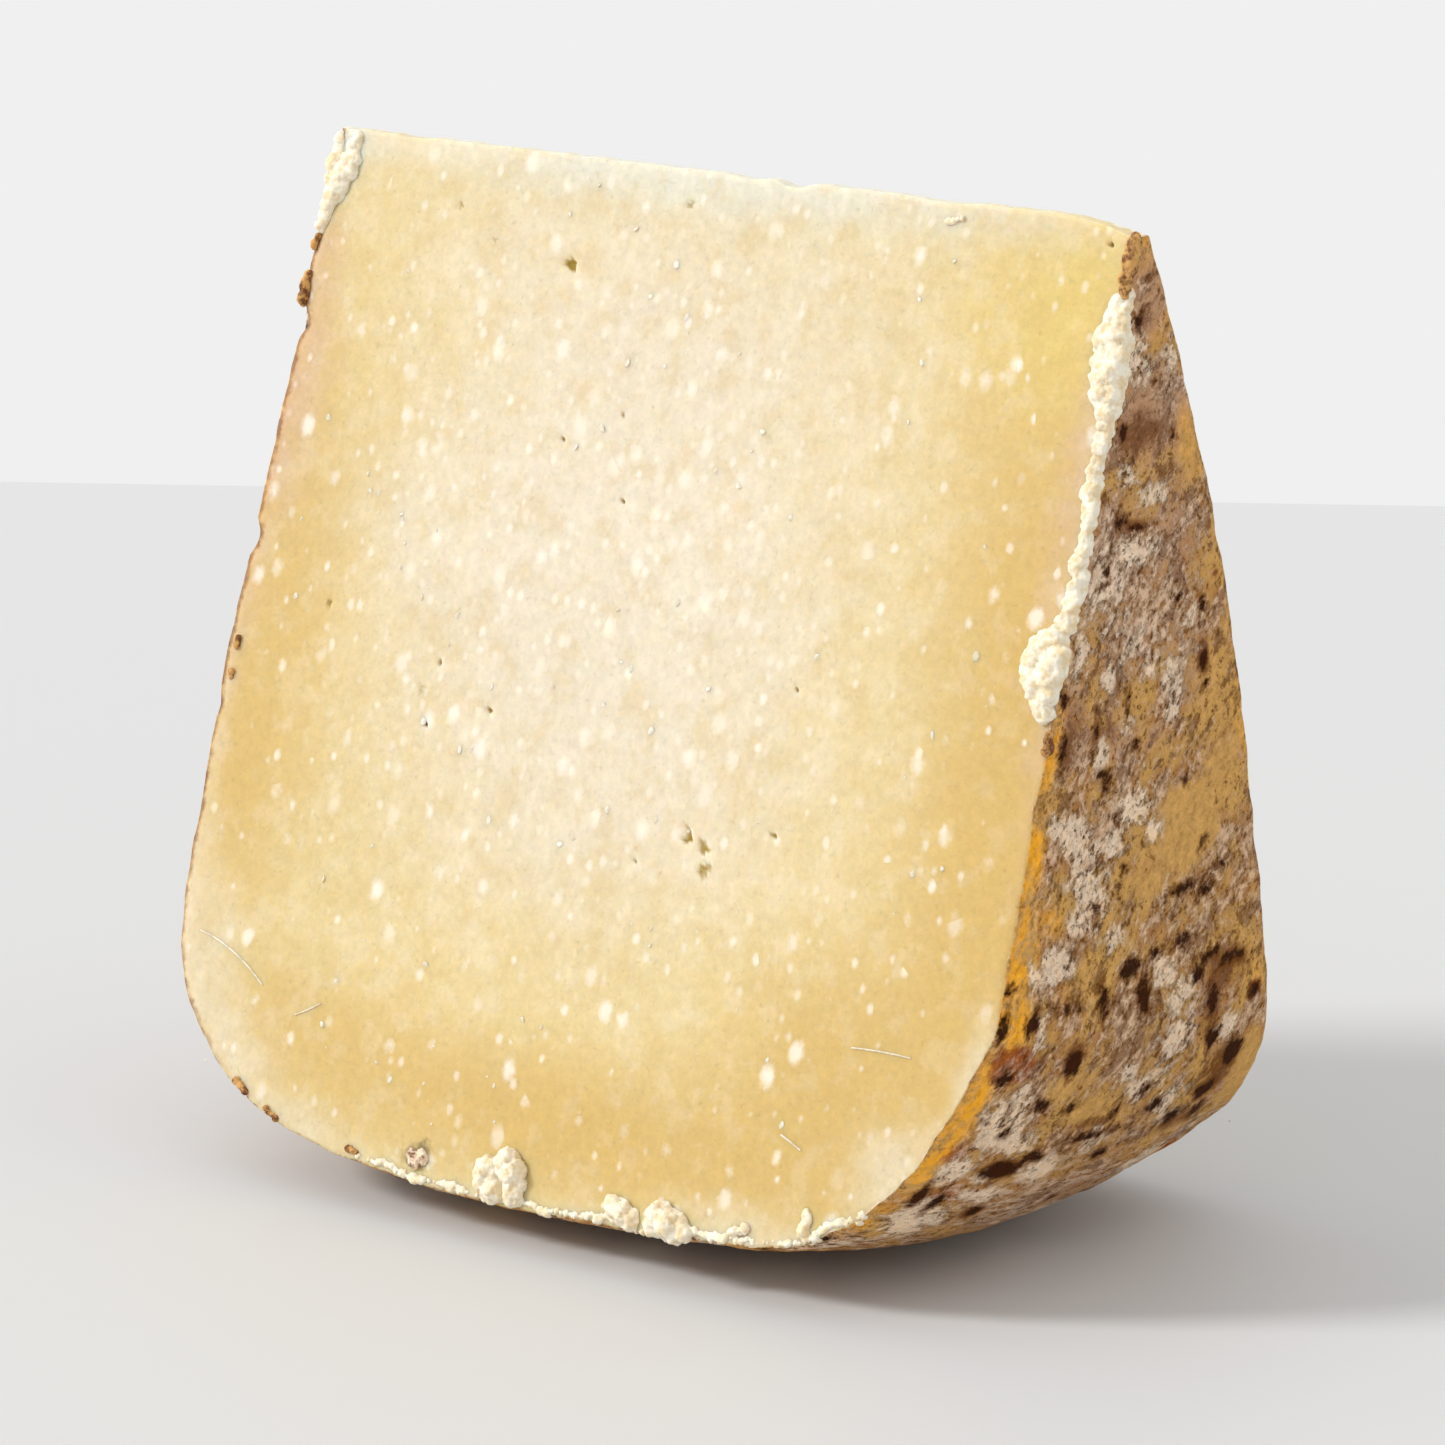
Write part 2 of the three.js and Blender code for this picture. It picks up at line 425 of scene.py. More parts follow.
def gathered(plane, holes):
    """Draws the mesh together around the holes, so that they get enough points"""
    for x, depth, radius, _ in holes:
        offset = np.array([x, depth]) - plane
        reach = GATHER_REACH * max(radius, GATHER_LEAST)
        pull = GATHER_PULL * np.exp(-(offset ** 2).sum(axis=-1) / reach ** 2)
        pull[[0, -1], :] = 0
        pull[:, [0, -1]] = 0
        plane = plane + offset * pull[..., None]
    return plane


def hollowness(plane, holes):
    """How much each place lies in a hole, from 0 to 1, counted more fully where the hole is deep so that
    deep holes get painted shade, and how deep it lies there in millimetres
    """
    inside = np.zeros(plane.shape[:-1])
    drop = np.zeros(plane.shape[:-1])
    for index, (x, depth, radius, deep) in enumerate(holes):
        offset = plane - np.array([x, depth])
        turn = 0.5 + 1.7 * index  # so that no two holes lie the same way
        u = offset[..., 0] * math.cos(turn) + offset[..., 1] * math.sin(turn)
        v = offset[..., 1] * math.cos(turn) - offset[..., 0] * math.sin(turn)
        around = np.arctan2(v, u)
        (lobes, strong), (small_lobes, weak) = HOLE_LOBES
        ragged = (
            1 + strong * np.sin(lobes * around + index) + weak * np.sin(small_lobes * around + 2 * index))
        rim = np.hypot(u, v * HOLE_OVAL) / (radius * ragged)
        amount = 1 - ease(rim, *HOLE_WALL)
        inside = np.maximum(inside, amount * min(1.0, HOLE_TINT + HOLE_SHADE_PER_MM * deep))
        drop = np.maximum(drop, amount * deep)
    return inside, drop


def cut_height(sizes, points):
    """How far the cut stands out at each point, in millimetres, apart from its holes"""
    squeezed = points * np.array([1.0, 1.0, DRAG_SQUEEZE])
    height = sum(
        share * waves(places, size, number)
        for places, (size, number, share) in (
            (points, CUT_SWELL), (squeezed, CUT_DRAG), (points, CUT_CURD)))
    return height * sizes.paste_relief / MM


def holes_on(side):
    """The holes of one cut"""
    if side == FRONT:
        return FRONT_HOLES
    rng = random.Random(SEEDS["back holes"])
    return tuple(
        tuple(rng.uniform(*limits) for limits in BACK_HOLE_RANGES) for _ in range(BACK_HOLES))


class Lattice:
    """The slice as a box of points, of which only the skin becomes the mesh"""

    def __init__(self, sizes):
        across = crowded(ACROSS, ACROSS_CROWDING)
        down = crowded(DOWN, DOWN_CROWDING)
        through = crowded(THROUGH, THROUGH_CROWDING)
        flats = [filled_plane(sizes, rough_outline(sizes, t), across, down) for t in through]
        flats[0] = gathered(flats[0], holes_on(FRONT))
        flats[-1] = gathered(flats[-1], holes_on(BACK))
        self.flat = np.stack(flats)
        self.points = np.stack([placed(sizes, flat, t) for flat, t in zip(flats, through)])
        self.share = np.broadcast_to(through[:, None, None], self.flat.shape[:-1])
        self.hole = np.zeros(self.flat.shape[:-1])
        for side, layer in ((FRONT, 0), (BACK, THROUGH)):
            self.carve(sizes, side, layer)
        self.points[..., 2] = np.maximum(self.points[..., 2], 0.0)

    def carve(self, sizes, side, layer):
        """Gives a cut its waves and holes"""
        self.hole[layer], drop = hollowness(self.flat[layer], holes_on(side))
        points = self.points[layer]
        height = cut_height(sizes, points.reshape(-1, 3)).reshape(drop.shape) - drop
        steps = np.minimum.outer(
            np.minimum(np.arange(DOWN + 1), np.arange(DOWN, -1, -1)),
            np.minimum(np.arange(ACROSS + 1), np.arange(ACROSS, -1, -1)))
        inside = ease(steps, 0, 3)
        points += (height * inside)[..., None] * MM * np.array(cut_normal(sizes, side))


def skin_faces():
    """Corner numbers of the skin's faces, which face outwards, with the lattice's points numbered by
    layer, row and column"""
    index = np.arange((THROUGH + 1) * (DOWN + 1) * (ACROSS + 1))
    index = index.reshape(THROUGH + 1, DOWN + 1, ACROSS + 1)

    def quads(sheet, flip):
        corners = [sheet[:-1, :-1], sheet[1:, :-1], sheet[1:, 1:], sheet[:-1, 1:]]
        if flip:
            corners.reverse()
        return np.stack([corner.ravel() for corner in corners], axis=1)

    sheets = (
        (index[0], False), (index[-1], True),
        (index[:, :, 0], False), (index[:, :, -1], True),
        (index[:, 0, :], True), (index[:, -1, :], False),
    )
    return [quads(sheet, flip) for sheet, flip in sheets]


# ---------------------------------------------------------------------------------------------------
# What the materials need to know about each point of the skin
# ---------------------------------------------------------------------------------------------------

# Soft patches of tone on the cuts: (x, depth, half width, half height, amount), in millimetres
PASTE_TONES = {
    "cream": (
        (-4, 38, 30, 28, 1.0), (2, 14, 30, 14, 0.5), (0, 60, 24, 14, 0.45), (-24, 36, 12, 8, 0.4),
        (-22, 8, 16, 8, 0.3)),
    "golden": (
        (47, 50, 13, 60, 0.95), (4, 90.5, 46, 8, 0.85), (31, 80, 13, 12, 0.75), (-45, 44, 11, 30, 0.7),
        (-46, 66, 9, 14, 0.6), (-33, 86, 12, 7, 0.5), (37, 20, 9, 20, 0.25)),
    "lemon": ((45, 8, 9, 11, 0.85), (38, 10, 14, 12, 0.35)),
    "blush": (
        (-48.7, 24, 5.5, 17, 1.0), (-49, 11, 4, 4, 0.7), (-49, 50, 2.2, 9, 0.5), (47.5, 24, 3.4, 16, 0.8),
        (49, 44, 2.5, 20, 0.6), (47.6, 10, 2.4, 4, 0.5)),
    "pale": (
        (-46, 86, 6, 10, 0.95), (-41, 92, 7, 6, 0.9), (-30, 96, 8, 3, 0.7), (-49, 76, 3.5, 9, 0.6),
        (26, 96, 12, 3, 0.6), (10, 98.4, 30, 1.6, 0.5), (42, 88, 6.5, 5, 1.0), (47.8, 79, 2.4, 8, 0.9),
        (-50, 60, 2.5, 20, 0.5)),
    "glassy": ((0, -1, 46, 5.5, 1.0), (-46, 1, 5, 3, 0.6)),
    "stain": ((-14.6, 96.3, 1.7, 1.0, 1.0), (-13.6, 95.2, 0.8, 0.7, 0.8)),
}

# Soft patches on the right side of the rind: (across, run, half width, half height, amount), in
# millimetres, where across is counted from the front cut and run down from the thin edge
RIND_TONES = {
    "mould": (
        (3, 12.5, 2.6, 3, 0.85), (7.5, 13, 1.6, 1.8, 0.8), (4.5, 23, 1.6, 1.6, 0.8),
        (8.5, 25, 2.6, 1.2, 0.9),
        (7, 29.5, 3.6, 1.8, 0.9), (4, 33, 3.4, 4.5, 0.75), (10, 38, 4, 3.5, 0.6), (17, 37, 1.8, 2.2, 0.75),
        (13, 40.5, 2.6, 2.4, 0.7), (7, 41.2, 0.9, 1.1, 1.0), (2.2, 38.5, 1.6, 3.4, 0.75),
        (8, 48.3, 1.3, 1.9, 1.0), (16.5, 42, 3.4, 2.6, 0.7), (17.5, 45.6, 1.6, 0.9, 1.0),
        (11, 45.5, 2, 2, 0.6),
        (14.8, 53.2, 2.8, 2.0, 1.0), (6, 55.5, 2.8, 2.2, 1.0), (12.5, 56.2, 1.8, 1.8, 0.9),
        (9, 58, 3.6, 3.2, 0.85), (18.7, 56, 1.7, 1.7, 0.75), (3.4, 54.7, 1.4, 1.0, 0.9),
        (11, 61, 3.6, 2.4, 0.8), (9.3, 63.3, 2.6, 1.6, 0.9), (6.8, 67, 2.6, 2.2, 1.0),
        (15.3, 65, 2.6, 1.5, 0.8),
        (3.8, 68.3, 1.2, 1.6, 0.8), (26, 70.3, 2.4, 2.2, 0.8), (28.8, 73, 2.8, 3.2, 0.78),
        (24, 69, 1.2, 1.4, 0.9),
        (30.5, 77, 2.6, 2.4, 0.9), (7, 73.5, 1.2, 2.2, 0.8), (39.8, 79, 1.9, 1.4, 1.0),
        (28, 81, 4.4, 1.4, 0.85),
        (24, 79, 2.4, 1.2, 0.8), (8, 82.3, 3.4, 3.6, 1.0), (11.5, 84.6, 3.2, 2.0, 0.9),
        (5.5, 88, 2.6, 2.4, 0.9),
        (8.2, 79.6, 1.6, 1.5, 0.85), (33.5, 84, 3.4, 1.5, 0.8), (36, 86.3, 3.2, 1.3, 0.7),
        (18, 88.4, 3.6, 1.8, 0.9),
        (24, 86.2, 2.6, 1.6, 0.8), (13, 91.2, 4.4, 1.3, 0.85), (8, 94, 2.6, 2.4, 0.8),
        (10, 89, 1.8, 1.2, 0.8),
        (23, 96, 5, 2.2, 0.6), (46, 92, 4, 2, 0.6),
    ),
    "brown": (
        (5, 19, 4.5, 3.2, 0.95), (3.5, 9, 2.6, 2.6, 0.7), (6.5, 27.3, 2.2, 0.9, 1.0), (3, 46, 2.6, 5, 0.85),
        (8, 46, 5, 2.6, 0.75), (20.5, 41.5, 1.3, 2.4, 1.0), (15, 47, 4.5, 2.4, 0.6),
        (36, 73, 4.5, 2.6, 1.0),
        (36, 77, 3.6, 3, 0.8), (41.5, 84, 3.6, 3.6, 1.0), (31, 84, 3.2, 2.0, 0.75), (22, 71, 1.3, 2.4, 0.9),
        (13.4, 75.6, 1.8, 2.2, 0.95), (8.5, 50, 3.4, 1.8, 0.7), (12.5, 87.6, 3.4, 1.7, 1.0),
        (5, 92, 3, 2.2, 0.8),
        (14, 94, 2.6, 1.6, 0.9), (22, 83.6, 4.6, 0.9, 0.9), (38, 88, 4, 1.5, 0.8), (30, 93, 6, 2, 0.6),
        (9, 34, 3.4, 1.6, 0.4), (14.5, 30, 2, 4, 0.35),
    ),
    "amber": (
        (0.4, 47, 1.2, 6, 0.8), (0.7, 58, 1.7, 5, 1.0), (1.3, 66, 2.4, 4.5, 1.0), (2, 72.5, 3.0, 3.5, 1.0),
        (1.6, 81, 2.6, 5, 1.0), (1.6, 87.5, 2.2, 4, 1.0), (0.8, 95, 1.8, 3.5, 0.7),
        (5.0, 63, 2.2, 1.8, 0.7),
        (9.5, 69.5, 2.6, 1.8, 0.5), (11.6, 20.8, 1.6, 3.6, 0.5), (14.6, 25.5, 1.2, 2.6, 0.5),
        (0.6, 2, 2.4, 3, 0.6),
        (37, 66, 4.5, 2.6, 0.3), (12, 66.5, 2.2, 2.2, 0.3), (43, 75.5, 2.4, 2.4, 0.4),
        (6, 10, 2.2, 1.8, 0.45),
        (31, 49.5, 1.6, 5, 0.5), (24, 39.5, 1.5, 4, 0.5),
    ),
    "straw": (
        (11.6, 20.6, 2.0, 3.2, 0.9), (24, 57, 5.2, 4.2, 1.0), (27, 52, 4.5, 2.6, 0.6),
        (20, 61, 3.2, 1.6, 0.6), (20, 82, 3.4, 2.0, 0.7),
        (14, 79, 3, 2, 0.6), (34, 62, 3, 3, 0.4), (48, 86, 3.4, 5, 0.9), (12, 67.5, 2, 1.5, 0.5),
    ),
    "dusk": (
        (3, 6, 4, 5, 0.7), (6, 17, 6, 5, 0.8), (12, 29, 6, 7, 0.6), (4, 31, 6, 7, 0.7), (9, 38, 7, 5, 0.55),
        (2, 14, 3, 3, 0.5), (17, 39, 5, 5, 0.5), (10, 47, 8, 4, 0.5), (18, 43, 5, 4, 0.5),
        (30, 75, 8, 5, 0.35), (28, 86, 10, 4, 0.4), (30, 96, 16, 6, 0.6),
    ),
    "russet": (
        (4.6, 76.5, 3.4, 2.0, 1.0), (14.5, 30.5, 2.4, 4.5, 0.4), (20, 35, 2.2, 4, 0.4),
        (3.4, 86, 2.4, 1.6, 0.6),
        (43, 77, 1.2, 1.2, 0.9), (7, 91, 3, 2, 0.6), (26, 47.5, 2, 3, 0.3),
    ),
}
# Dark spots on the right side of the rind: (across, run, half width, half height), in millimetres
RIND_SPOTS = (
    (22, 52.5, 0.55, 0.42), (27, 59.3, 0.62, 0.48), (25.2, 62.7, 1.6, 0.5), (29.6, 64, 1.25, 0.55),
    (31.6, 62.3, 1.0, 0.2), (19.2, 68.4, 1.5, 0.95), (27, 67.6, 1.6, 0.65), (23, 68, 0.6, 0.6),
    (15.8, 71, 0.75, 1.5), (22.5, 71.5, 0.9, 1.9), (14, 76.5, 1.1, 1.5), (10.5, 71.1, 1.8, 0.35),
    (5.1, 72.4, 1.1, 1.0), (4.2, 77.8, 1.2, 0.7), (33, 70.6, 1.6, 0.6), (36.6, 72, 1.7, 0.6),
    (38.8, 72.6, 0.9, 0.7), (31, 71.6, 0.8, 0.8), (35.2, 75.2, 0.9, 1.6), (43, 77, 0.8, 0.8),
    (37.6, 79.4, 1.1, 1.0), (17, 81.5, 0.8, 0.6), (12.2, 80.7, 0.9, 0.5), (25, 83, 0.7, 0.8),
    (29, 82, 1.0, 0.5), (31.5, 84, 1.2, 0.6), (43, 82.5, 1.5, 1.4), (41, 85.6, 1.5, 1.0),
    (37, 87, 1.4, 0.7),
    (12, 87.9, 2.4, 1.1), (15.6, 86.5, 1.2, 0.8), (3.6, 91.2, 0.8, 1.6), (6.6, 92, 0.8, 1.8),
    (14, 93.6, 1.1, 0.9), (9, 83.6, 0.7, 0.6), (7.6, 81.5, 0.3, 0.8), (27, 88, 0.9, 0.6),
    (22.4, 85.1, 3.0, 0.35),
    (0.5, 69.3, 0.5, 0.4), (0.6, 73, 0.6, 1.1), (2.5, 9, 0.6, 0.8), (2.8, 19, 0.6, 0.8),
    (9.7, 20, 0.5, 0.7),
    (7, 27.6, 1.4, 0.4), (4.9, 26.8, 0.7, 0.5), (4, 31, 0.25, 0.9), (15, 35, 0.6, 0.4), (19, 37, 0.6, 0.6),
    (20.8, 42, 0.7, 1.1), (10.6, 43.6, 0.35, 0.9), (0.9, 43, 0.7, 0.8), (6.5, 46, 0.35, 1.2),
    (9, 49.9, 0.9, 0.4),
    (9.7, 51, 0.45, 0.6), (12.6, 54, 0.4, 0.5), (10, 58, 0.8, 0.2), (11.6, 62, 0.7, 0.35),
    (15.3, 59, 0.4, 0.4),
    (22, 44.6, 0.5, 0.35), (2, 47.4, 0.5, 1.0), (13, 47.5, 0.5, 0.5), (42, 88, 1.5, 0.7),
)
# The rest of the rind gets seeded patches: how many, their half widths and half heights, and amounts
OTHER_TONES = {
    "mould": (210, (1.2, 4.5), (1.0, 3.6), (0.6, 1.0)),
    "brown": (130, (1.4, 5.0), (1.0, 3.2), (0.5, 1.0)),
    "amber": (60, (1.6, 4.5), (1.4, 4.0), (0.2, 0.6)),
    "straw": (44, (2.5, 6.0), (2.0, 4.5), (0.5, 1.0)),
    "dusk": (50, (4.0, 9.0), (3.0, 7.0), (0.3, 0.7)),
    "russet": (36, (1.2, 3.6), (1.2, 3.6), (0.4, 0.9)),
}
OTHER_SPOTS = (170, (0.3, 1.5), (0.25, 0.8))
RIGHT_RUN = 92.0  # millimetres down from the thin edge that are listed one by one
SPOT_SLANT = math.radians(47)  # of the rind's patterns on the flat sides
RIND_DEPTH = 7.0  # millimetres under the surface that a patch reaches
PATCH_FALL = 0.7  # how steeply a patch fades from its middle to its rim
FAR_MM = 9.0  # stands for no dark spot near
RIM_TURN = (17, 5)  # millimetres short of the crown between which the patterns turn to the rim's way
LEFT_TURN = (38, 46)  # millimetres left of the middle between which the left side begins
CORNER_WRAP = 46.8  # where along the thin edge the rind of the right corner begins, in millimetres


def tone(name, flat):
    """Amount of one of the paste's tones at each place (x, depth)"""
    amount = np.zeros(flat.shape[:-1])
    for x, depth, half_width, half_height, strength in PASTE_TONES[name]:
        away = ((flat[..., 0] - x) / half_width) ** 2 + ((flat[..., 1] - depth) / half_height) ** 2
        amount = 1 - (1 - amount) * (1 - strength * np.exp(-away))
    return amount


def at_run(line, run):
    """The place on the section's line that far down from the right end of the thin edge"""
    lengths = np.linalg.norm(np.diff(line[::-1], axis=0), axis=1)
    runs = np.concatenate([[0.0], np.cumsum(lengths)])
    return np.array([np.interp(run, runs, line[::-1, axis]) for axis in range(2)])


class RindMap:
    """Finds places on the rind from (across, run) in millimetres"""

    STEP = 0.5  # millimetres to the neighbours that give the directions

    def __init__(self, sizes):
        self.sizes = sizes
        self.lines = [section(sizes, share) for share in (0.0, 0.5, 1.0)]
        middle = self.lines[1]
        self.total = np.linalg.norm(np.diff(middle, axis=0), axis=1).sum()

    def flat(self, share, run):
        layer = 2 * share
        low = min(int(layer), 1)
        ends = [at_run(self.lines[low + step], run) for step in (0, 1)]
        return ends[0] + (ends[1] - ends[0]) * (layer - low)

    def width(self, run):
        """Millimetres from cut to cut at that run"""
        return float(thickness(self.sizes, self.flat(0.5, run)[1]))

    def point(self, across, run):
        share = min(max(across / self.width(run), 0.0), 1.0)
        return placed(self.sizes, self.flat(share, run), share) / MM

    def frame(self, across, run):
        """The point, the direction away from the front cut, the direction down, and the one outwards"""
        across = min(across, self.width(run) - self.STEP)
        point = self.point(across, run)
        beside = self.point(across + self.STEP, run) - point
        below = self.point(across, run + self.STEP) - point
        beside /= np.linalg.norm(beside)
        below -= beside * (below @ beside)
        below /= np.linalg.norm(below)
        return point, beside, below, np.cross(beside, below)

    def seeded(self, rng, count, widths, heights):
        """Places and sizes on the rest of the rind"""
        for _ in range(count):
            run = rng.uniform(RIGHT_RUN, self.total)
            yield rng.uniform(0, self.width(run)), run, rng.uniform(*widths), rng.uniform(*heights)


def patch_reach(points, frame, half_width, half_height):
    """Distance of each point from a patch's middle, where 1 is its rim"""
    middle, beside, below, outward = frame
    offset = points - middle
    return np.sqrt(
        (offset @ beside / half_width) ** 2 + (offset @ below / half_height) ** 2
        + (offset @ outward / RIND_DEPTH) ** 2)


def rind_marks(sizes, points):
    """The rind's tones and the distance to its dark spots, for points in millimetres"""
    chart = RindMap(sizes)
    marks = {}
    for number, (name, patches) in enumerate(RIND_TONES.items()):
        amount = np.zeros(len(points))
        rng = random.Random(SEEDS["rind patches"] + number)
        count, widths, heights, amounts = OTHER_TONES[name]
        others = [place + (rng.uniform(*amounts),) for place in chart.seeded(rng, count, widths, heights)]
        for across, run, half_width, half_height, strength in list(patches) + others:
            reach = patch_reach(points, chart.frame(across, run), half_width, half_height)
            amount = np.maximum(amount, strength * np.exp(-PATCH_FALL * reach ** 2))
        marks[name] = amount
    spots = np.full(len(points), FAR_MM)
    rng = random.Random(SEEDS["rind spots"])
    for across, run, half_width, half_height in list(RIND_SPOTS) + list(chart.seeded(rng, *OTHER_SPOTS)):
        reach = patch_reach(points, chart.frame(across, run), half_width, half_height)
        spots = np.minimum(spots, (reach - 1) * min(half_width, half_height))
    marks["spot_mm"] = spots
    return marks


def edge_distance(sizes, lattice):
    """Millimetres to the nearest cut edge of the rind: positive on the rind, negative on the paste"""
    width = thickness(sizes, lattice.flat[..., 1])
    edge = np.minimum(lattice.share, 1 - lattice.share) * width
    edge[1:-1, 0, 1:-1] = np.minimum(lattice.flat[1:-1, 0, 1:-1, 0] - CORNER_WRAP, 1.0)
    for layer in (0, THROUGH):
        flat = lattice.flat[layer]
        tree = kdtree.KDTree(2 * (DOWN + 1) + ACROSS + 1)
        outline = np.concatenate([flat[:, 0], flat[-1], flat[:, -1]])
        for number, place in enumerate(outline):
            tree.insert((place[0], place[1], 0.0), number)
        tree.balance()
        away = [tree.find((place[0], place[1], 0.0))[2] for place in flat.reshape(-1, 2)]
        edge[layer] = -np.array(away).reshape(flat.shape[:-1])
    return edge


def skin_marks(sizes, lattice):
    """Every number that the materials read, for each point of the lattice"""
    flat = lattice.flat.reshape(-1, 2)
    points = lattice.points.reshape(-1, 3) / MM
    edge = edge_distance(sizes, lattice)
    skin = np.zeros(edge.shape, bool)
    skin[:, :, 0] = True
    skin[:, :, -1] = True
    skin[:, -1, :] = True
    on_rind = skin.ravel()
    marks = {"edge_mm": edge.ravel(), "hole": lattice.hole.ravel()}
    for name in PASTE_TONES:
        marks[name] = tone(name, flat)
    for name, values in rind_marks(sizes, points[on_rind]).items():
        marks[name] = np.full(len(points), values.max())
        marks[name][on_rind] = values
    marks["rim"] = ease(flat[:, 1], RADIUS_MM - RIM_TURN[0], RADIUS_MM - RIM_TURN[1])
    marks["left"] = ease(-flat[:, 0], *LEFT_TURN)
    return marks


# ---------------------------------------------------------------------------------------------------
# Materials
# ---------------------------------------------------------------------------------------------------

def linear(shown):
    """A colour as chosen on screen, as the light it stands for"""
    def channel(value):
        return value / 12.92 if value <= 0.04045 else ((value + 0.055) / 1.055) ** 2.4
    return tuple(channel(value) for value in shown) + (1.0,)


class Recipe:
    """Builds one material's nodes"""

    def __init__(self, name):
        self.material = bpy.data.materials.new(name)
        self.material.use_nodes = True
        self.tree = self.material.node_tree
        self.shader = self.tree.nodes["Principled BSDF"]
        self.place = self.add("ShaderNodeTexCoord").outputs["Object"]

    def add(self, kind, inputs=None, **settings):
        """Adds a node, with inputs given as values or as other nodes' outputs"""
        made = self.tree.nodes.new(kind)
        for name, value in settings.items():
            setattr(made, name, value)
        for key, value in (inputs or {}).items():
            self.plug(value, made.inputs[key])
        return made

    def plug(self, value, socket):
        if isinstance(value, bpy.types.NodeSocket):
            self.tree.links.new(value, socket)
        else:
            socket.default_value = value

    def mark(self, name):
        """A number stored on the mesh"""
        return self.add("ShaderNodeAttribute", attribute_name=name).outputs["Fac"]

    def stretched(self, turn, along):
        """Places in which patterns run longer along Y, turned about X"""
        mapping = self.add("ShaderNodeMapping", {"Vector": self.place}, vector_type="TEXTURE")
        mapping.inputs["Rotation"].default_value = (turn, 0.0, 0.0)
        mapping.inputs["Scale"].default_value = (1.0, along, 1.0)
        return mapping.outputs["Vector"]

    def cloud(self, size, detail=3.0, rough=0.55, place=None):
        """Noise from 0 to 1 with features of that size in metres"""
        inputs = {
            "Vector": place or self.place, "Scale": 1 / size, "Detail": detail, "Roughness": rough}
        return self.add("ShaderNodeTexNoise", inputs).outputs["Fac"]

    def cells(self, size, place):
        """Rounded cells of that size in metres: how far each place is from its cell's middle, and two
        random numbers and a third that belong to the cell"""
        node = self.add("ShaderNodeTexVoronoi", {"Vector": place, "Scale": 1 / size})
        chances = self.add("ShaderNodeSeparateColor", {0: node.outputs["Color"]}).outputs
        return node.outputs["Distance"], chances[0], chances[1], chances[2]

    def calc(self, operation, a, b=0.0, c=0.0):
        return self.add("ShaderNodeMath", {0: a, 1: b, 2: c}, operation=operation).outputs[0]

    def sums(self, *values):
        total = values[0]
        for value in values[1:]:
            total = self.calc("ADD", total, value)
        return total

    def times(self, a, b):
        return self.calc("MULTIPLY", a, b)

    def step(self, value, low, high):
        """0 where the value is at low, 1 where it is at high, smooth between"""
        inputs = {"Value": value, "From Min": low, "From Max": high}
        return self.add("ShaderNodeMapRange", inputs, interpolation_type="SMOOTHSTEP").outputs[0]

    def shifted(self, value, cloud, reach):
        """The value moved up and down by a cloud, by up to half of reach"""
        return self.calc("MULTIPLY_ADD", self.calc("SUBTRACT", cloud, 0.5), reach, value)

    def blend(self, factor, a, b):
        """From number a to number b, through the Mix node's own number sockets"""
        return self.add("ShaderNodeMix", {0: factor, 2: a, 3: b}).outputs[0]

    def mix(self, factor, a, b):
        """From colour a to colour b, through the Mix node's own colour sockets"""
        node = self.add("ShaderNodeMix", data_type="RGBA")
        self.plug(factor, node.inputs[0])
        self.plug(a, node.inputs[6])
        self.plug(b, node.inputs[7])
        return node.outputs[2]

    def turn(self, factor, a, b):
        """From normal a to normal b, through the Mix node's own vector sockets"""
        node = self.add("ShaderNodeMix", data_type="VECTOR")
        self.plug(factor, node.inputs[0])
        self.plug(a, node.inputs[4])
        self.plug(b, node.inputs[5])
        return node.outputs[1]

    def tinted(self, colour, amount):
        """The colour made lighter or darker by an amount around 1"""
        inputs = {0: colour, "Scale": amount}
        return self.add("ShaderNodeVectorMath", inputs, operation="SCALE").outputs[0]

    def bump(self, height, reach, strength):
        inputs = {"Height": height, "Distance": reach, "Strength": strength}
        return self.add("ShaderNodeBump", inputs).outputs[0]

    def finish(self, **sockets):
        """Sets the shader's sockets, named with underscores for spaces"""
        for name, value in sockets.items():
            self.plug(value, self.shader.inputs[name.replace("_", " ")])
        return self.material


# How each tone of the paste breaks up: its name, how far noise shifts it, and that noise's size
PASTE_BREAKUP = (
    ("cream", 0.35, 9 * MM), ("golden", 0.3, 12 * MM), ("lemon", 0.2, 8 * MM), ("blush", 0.7, 2.5 * MM),
    ("pale", 0.35, 5 * MM), ("glassy", 0.4, 4 * MM), ("stain", 1.2, 0.6 * MM),
)
TONE_LIMITS = (0.04, 0.96)  # a paste tone is absent at the first value and full at the second
MARBLING = 3.2 * MM  # size of the warm and the milky clouds
WARM_COVER = 0.24  # how strongly the warm clouds cover
MILKY_COVER = 0.17  # how strongly the milky clouds do away from the golden paste
MILKY_LOSS = -0.08  # what they lose of it in the golden paste
# The soft dots: their cells' size, the widest radius and how far noise shifts it as shares of that
# size, the chance number past which a cell has one, and how strongly it covers
DOTS = ((2.5 * MM, 0.34, 0.68, 1.0), (1.4 * MM, 0.32, 0.66, 0.9))
DOT_RAGGEDNESS = 0.34
DOT_CROWDING = 0.5  # added to a cell's chance in the creamy middle
DOT_STRETCH = 1.35  # the knife drew the soft dots out downwards


